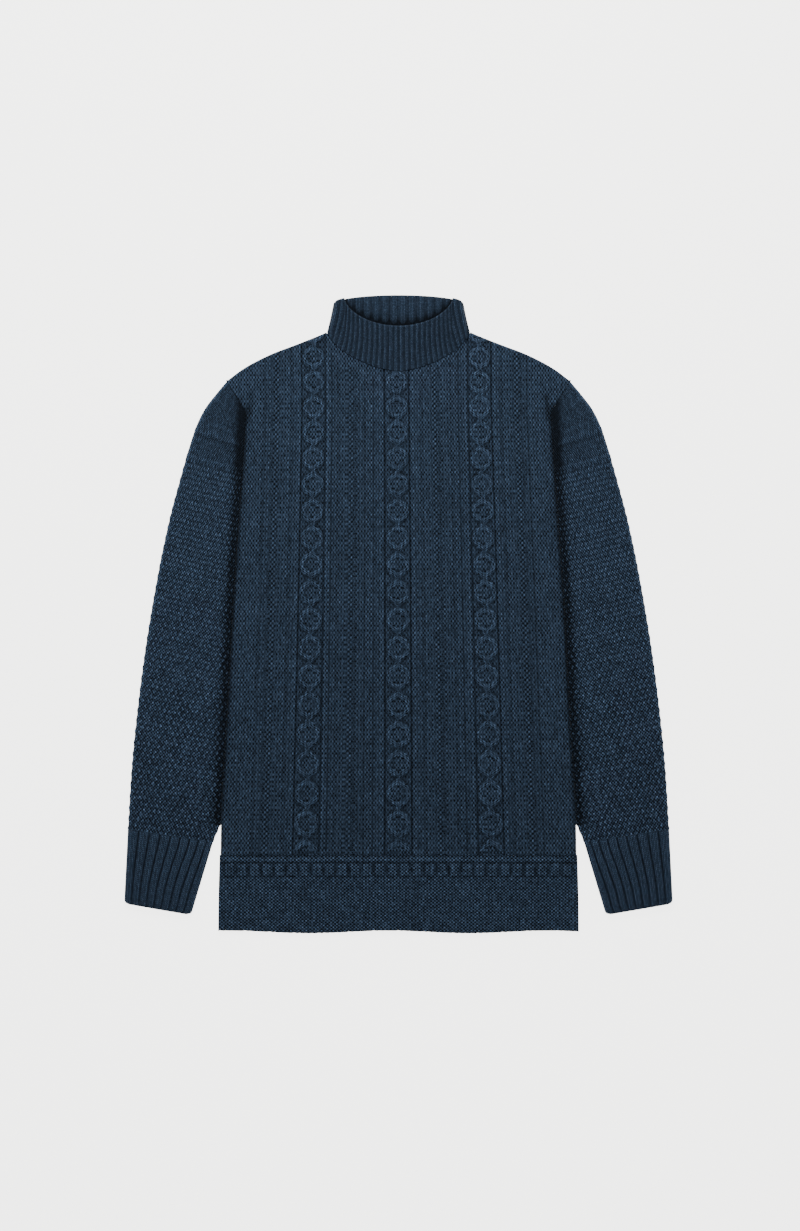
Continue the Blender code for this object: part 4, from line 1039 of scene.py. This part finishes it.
def front_welt():
    shell = Shell()
    rises = np.concatenate([[0.0, 0.0004, 0.0011], np.linspace(0.0022, WELT_EDGE - HEM_MIDDLE, 78)])[:, None]
    nominal = rises + HEM_MIDDLE
    half = welt_side(np.clip(nominal, 0.0, WELT_EDGE))
    inner = np.linspace(-1, 1, 348) * (half - 0.0040)
    x = np.concatenate([WELT_EDGE_STEPS - half, inner, half - WELT_EDGE_STEPS[::-1]], axis=1)
    scallop = 0.00035 * np.cos(math.pi * stitches_at(x[:1], 0.0)) * ease(1 - rises / 0.003)
    height = nominal + ease((0.045 - nominal) / 0.045) * (hem_height(x) - HEM_MIDDLE) + scallop
    height = np.minimum(height, WELT_EDGE)
    above_hem = height - hem_height(x) - scallop
    to_edge = np.minimum(welt_side(np.clip(height, 0, WELT_EDGE)) - np.abs(x), above_hem)
    # A band of short ribs between rows of dots, and a ridge above it.
    in_band = window(height, *BAR_BAND, 0.0016) * ease((0.2245 - np.abs(x)) / 0.002)
    bars = window(np.mod(x / BAR_PITCH, 1.0), 0.17, 0.83, 0.16) * in_band
    ridge = hump(height - WELT_RIDGE, 0.0020)
    dots = sum(depth * hump(height - at, width) for at, width, depth in DOT_ROWS)
    stitches = stitches_at(x, height)
    beads = 0.5 + 0.5 * np.cos(2 * math.pi * stitches)
    purl = in_band - bars
    relief = 0.0009 * bars - 0.0003 * purl + 0.0009 * ridge * (0.5 + 0.5 * beads) - 0.0005 * dots
    # The dots' dents, most of all between the beads, and the purl between the bars are painted darker, and
    # the bars and the ridge's beads a little lighter, as painted shade and light.
    paint = dots * (0.7 - 0.6 * beads) - 0.05 * beads * ridge + 0.28 * purl - 0.05 * bars
    full = WALL + LOFT * roll(to_edge, 0.02) + 0.5 * creases(x, height)
    level = FRONT_UNDER + mix(0.0008, full + relief, roll(np.maximum(to_edge, 0.0), 0.0026))
    # Shade painted into the points below their surroundings is added to the paint.
    upper = shell.grid(
        x, height + SHIFT, level, stitches, rows_at(height) * WELT_ROW_SHARE,
        purl=purl, painted_shade_and_tone=hollows(full + relief) + paint,
    )
    levels = np.array([[0.0], [0.03], [WELT_EDGE]])
    x = np.linspace(-1, 1, 15) * (welt_side(levels) - 0.0006)
    height = levels + 0 * x
    height[0] = hem_height(x[0]) + 0.0004
    stitches, under = stitches_at(x, height), FRONT_UNDER + 0 * x
    lower = shell.grid(x, height + SHIFT, under, stitches, rows_at(height), purl=1.0, flip=True)
    shell.slab(upper, lower)
    piece = shell.make("front_welt_knit", WELT_WOOL)
    finish_piece(piece, "front_welt")


def back_sheet(node, material, counts, xs, heights):
    """A plain panel under the front: its lower side shows from behind, its upper one hardly at all."""
    shell = Shell()

    def skin(fewer, flip):
        rows, columns = (count // fewer for count in counts)
        column, row = np.meshgrid(np.linspace(-1, 1, columns), np.linspace(0, 1, rows))
        x, height = xs(column, row), heights(column, row)
        near = 1 - roll(np.minimum(1 - np.abs(column), np.minimum(row, 1 - row) * 1.4), 0.012)
        level = 0.0009 * near if flip else WALL - 0.0006 * near
        stitches, purl = stitches_at(x, height), 0.0 if flip else 1.0
        return shell.grid(x, height + SHIFT, level, stitches, rows_at(height), flip=flip, purl=purl)

    lower = skin(1, True)
    upper = skin(6, False)
    shell.slab(upper, lower)
    finish_piece(shell.make(node + "_knit", material), node)


def back():
    def body_height(column, row):
        x = column * (body_side(0.694) - 0.0008)
        inset = np.where(np.abs(x) > NECK_HALF_WIDTH, LIP + 0.0003, 0.0008)
        return mix(BODY_BOTTOM, panel_top(x, NECK_BACK_DEPTH) - inset, row)

    def body_x(column, row):
        height = body_height(column, row)
        inset = mix(LIP + 0.0004, 0.0008, ease((height - ARMHOLE_FOOT) / 0.004 + 1.0))
        return column * (body_side(np.minimum(height, 0.6945)) - inset)

    def welt_height(column, row):
        return mix(hem_height(column * (welt_side(0.0) - 0.0010)) + 0.0010, WELT_EDGE, row)

    def welt_x(column, row):
        return column * (welt_side(np.clip(welt_height(column, row), 0.0, WELT_TOP)) - 0.0010)

    back_sheet(
        "back_body", BODY_WOOL, (190, 128), body_x, body_height,
    )
    back_sheet(
        "back_welt", WELT_WOOL, (30, 132), welt_x, welt_height,
    )


for side, mirrored in (("left", True), ("right", False)):
    sleeve("sleeve_" + side, mirrored)
    cuff("cuff_" + side, mirrored)
collar()
front_welt()
back()

# -------- camera, floor and light
PIXEL = 0.00127  # metres on the sweater to one pixel
FRAME = (800, 1231)  # width and height of the picture, in pixels
MIDDLE_COLUMN = 398.5  # pixel column of the sweater's middle
HEM_ROW = 931.0  # pixel row of height 0
DISTANCE = 3.0
LEVEL = 0.006  # of the plane that PIXEL is true on
FLOOR_HALF = 60.0
FLOOR_LEVEL = -0.0003
SENSOR = 36.0


def stage():
    mesh = bpy.data.meshes.new("floor")
    corners = np.array([(-1, -1), (1, -1), (1, 1), (-1, 1)]) * FLOOR_HALF
    mesh.from_pydata([(x, y, FLOOR_LEVEL) for x, y in corners.tolist()], [], [(0, 1, 2, 3)])
    paper, _ = principled(
        "floor_paper",
        Base_Color=(0.33, 0.335, 0.325, 1.0),
        Roughness=0.9,
        Specular_IOR_Level=0.1,
        Emission_Color=(1.0, 1.0, 0.985, 1.0),
        Emission_Strength=3.8,
    )
    mesh.materials.append(paper)
    add("floor", mesh)

    world = bpy.data.worlds.new("studio")
    bpy.context.scene.world = world
    world.use_nodes = True
    background = world.node_tree.nodes["Background"]
    background.inputs["Color"].default_value = (1.0, 1.0, 1.0, 1.0)
    background.inputs["Strength"].default_value = 0.75

    # One broad lamp beyond the collar lights the chest more than the hem.
    light = bpy.data.lights.new("key", "AREA")
    light.shape = "DISK"
    light.size = 1.0
    light.energy = 64.0
    lamp = add("key", light)
    lamp.location = (-0.15, 1.30, 1.35)
    towards = Vector((0.0, 0.05, 0.0)) - lamp.location
    lamp.rotation_euler = towards.to_track_quat("-Z", "Y").to_euler()


def camera():
    data = bpy.data.cameras.new("camera")
    data.sensor_width = SENSOR
    data.lens = SENSOR * DISTANCE / (FRAME[1] * PIXEL)
    data.clip_end = 50.0
    eye = add("camera", data)
    x = (FRAME[0] / 2 - MIDDLE_COLUMN) * PIXEL
    height = (HEM_ROW - FRAME[1] / 2) * PIXEL
    eye.location = (x, height + SHIFT, LEVEL + DISTANCE)
    bpy.context.scene.camera = eye


camera()
stage()


def plain(box):
    return [[float(value) for value in corner] for corner in box]
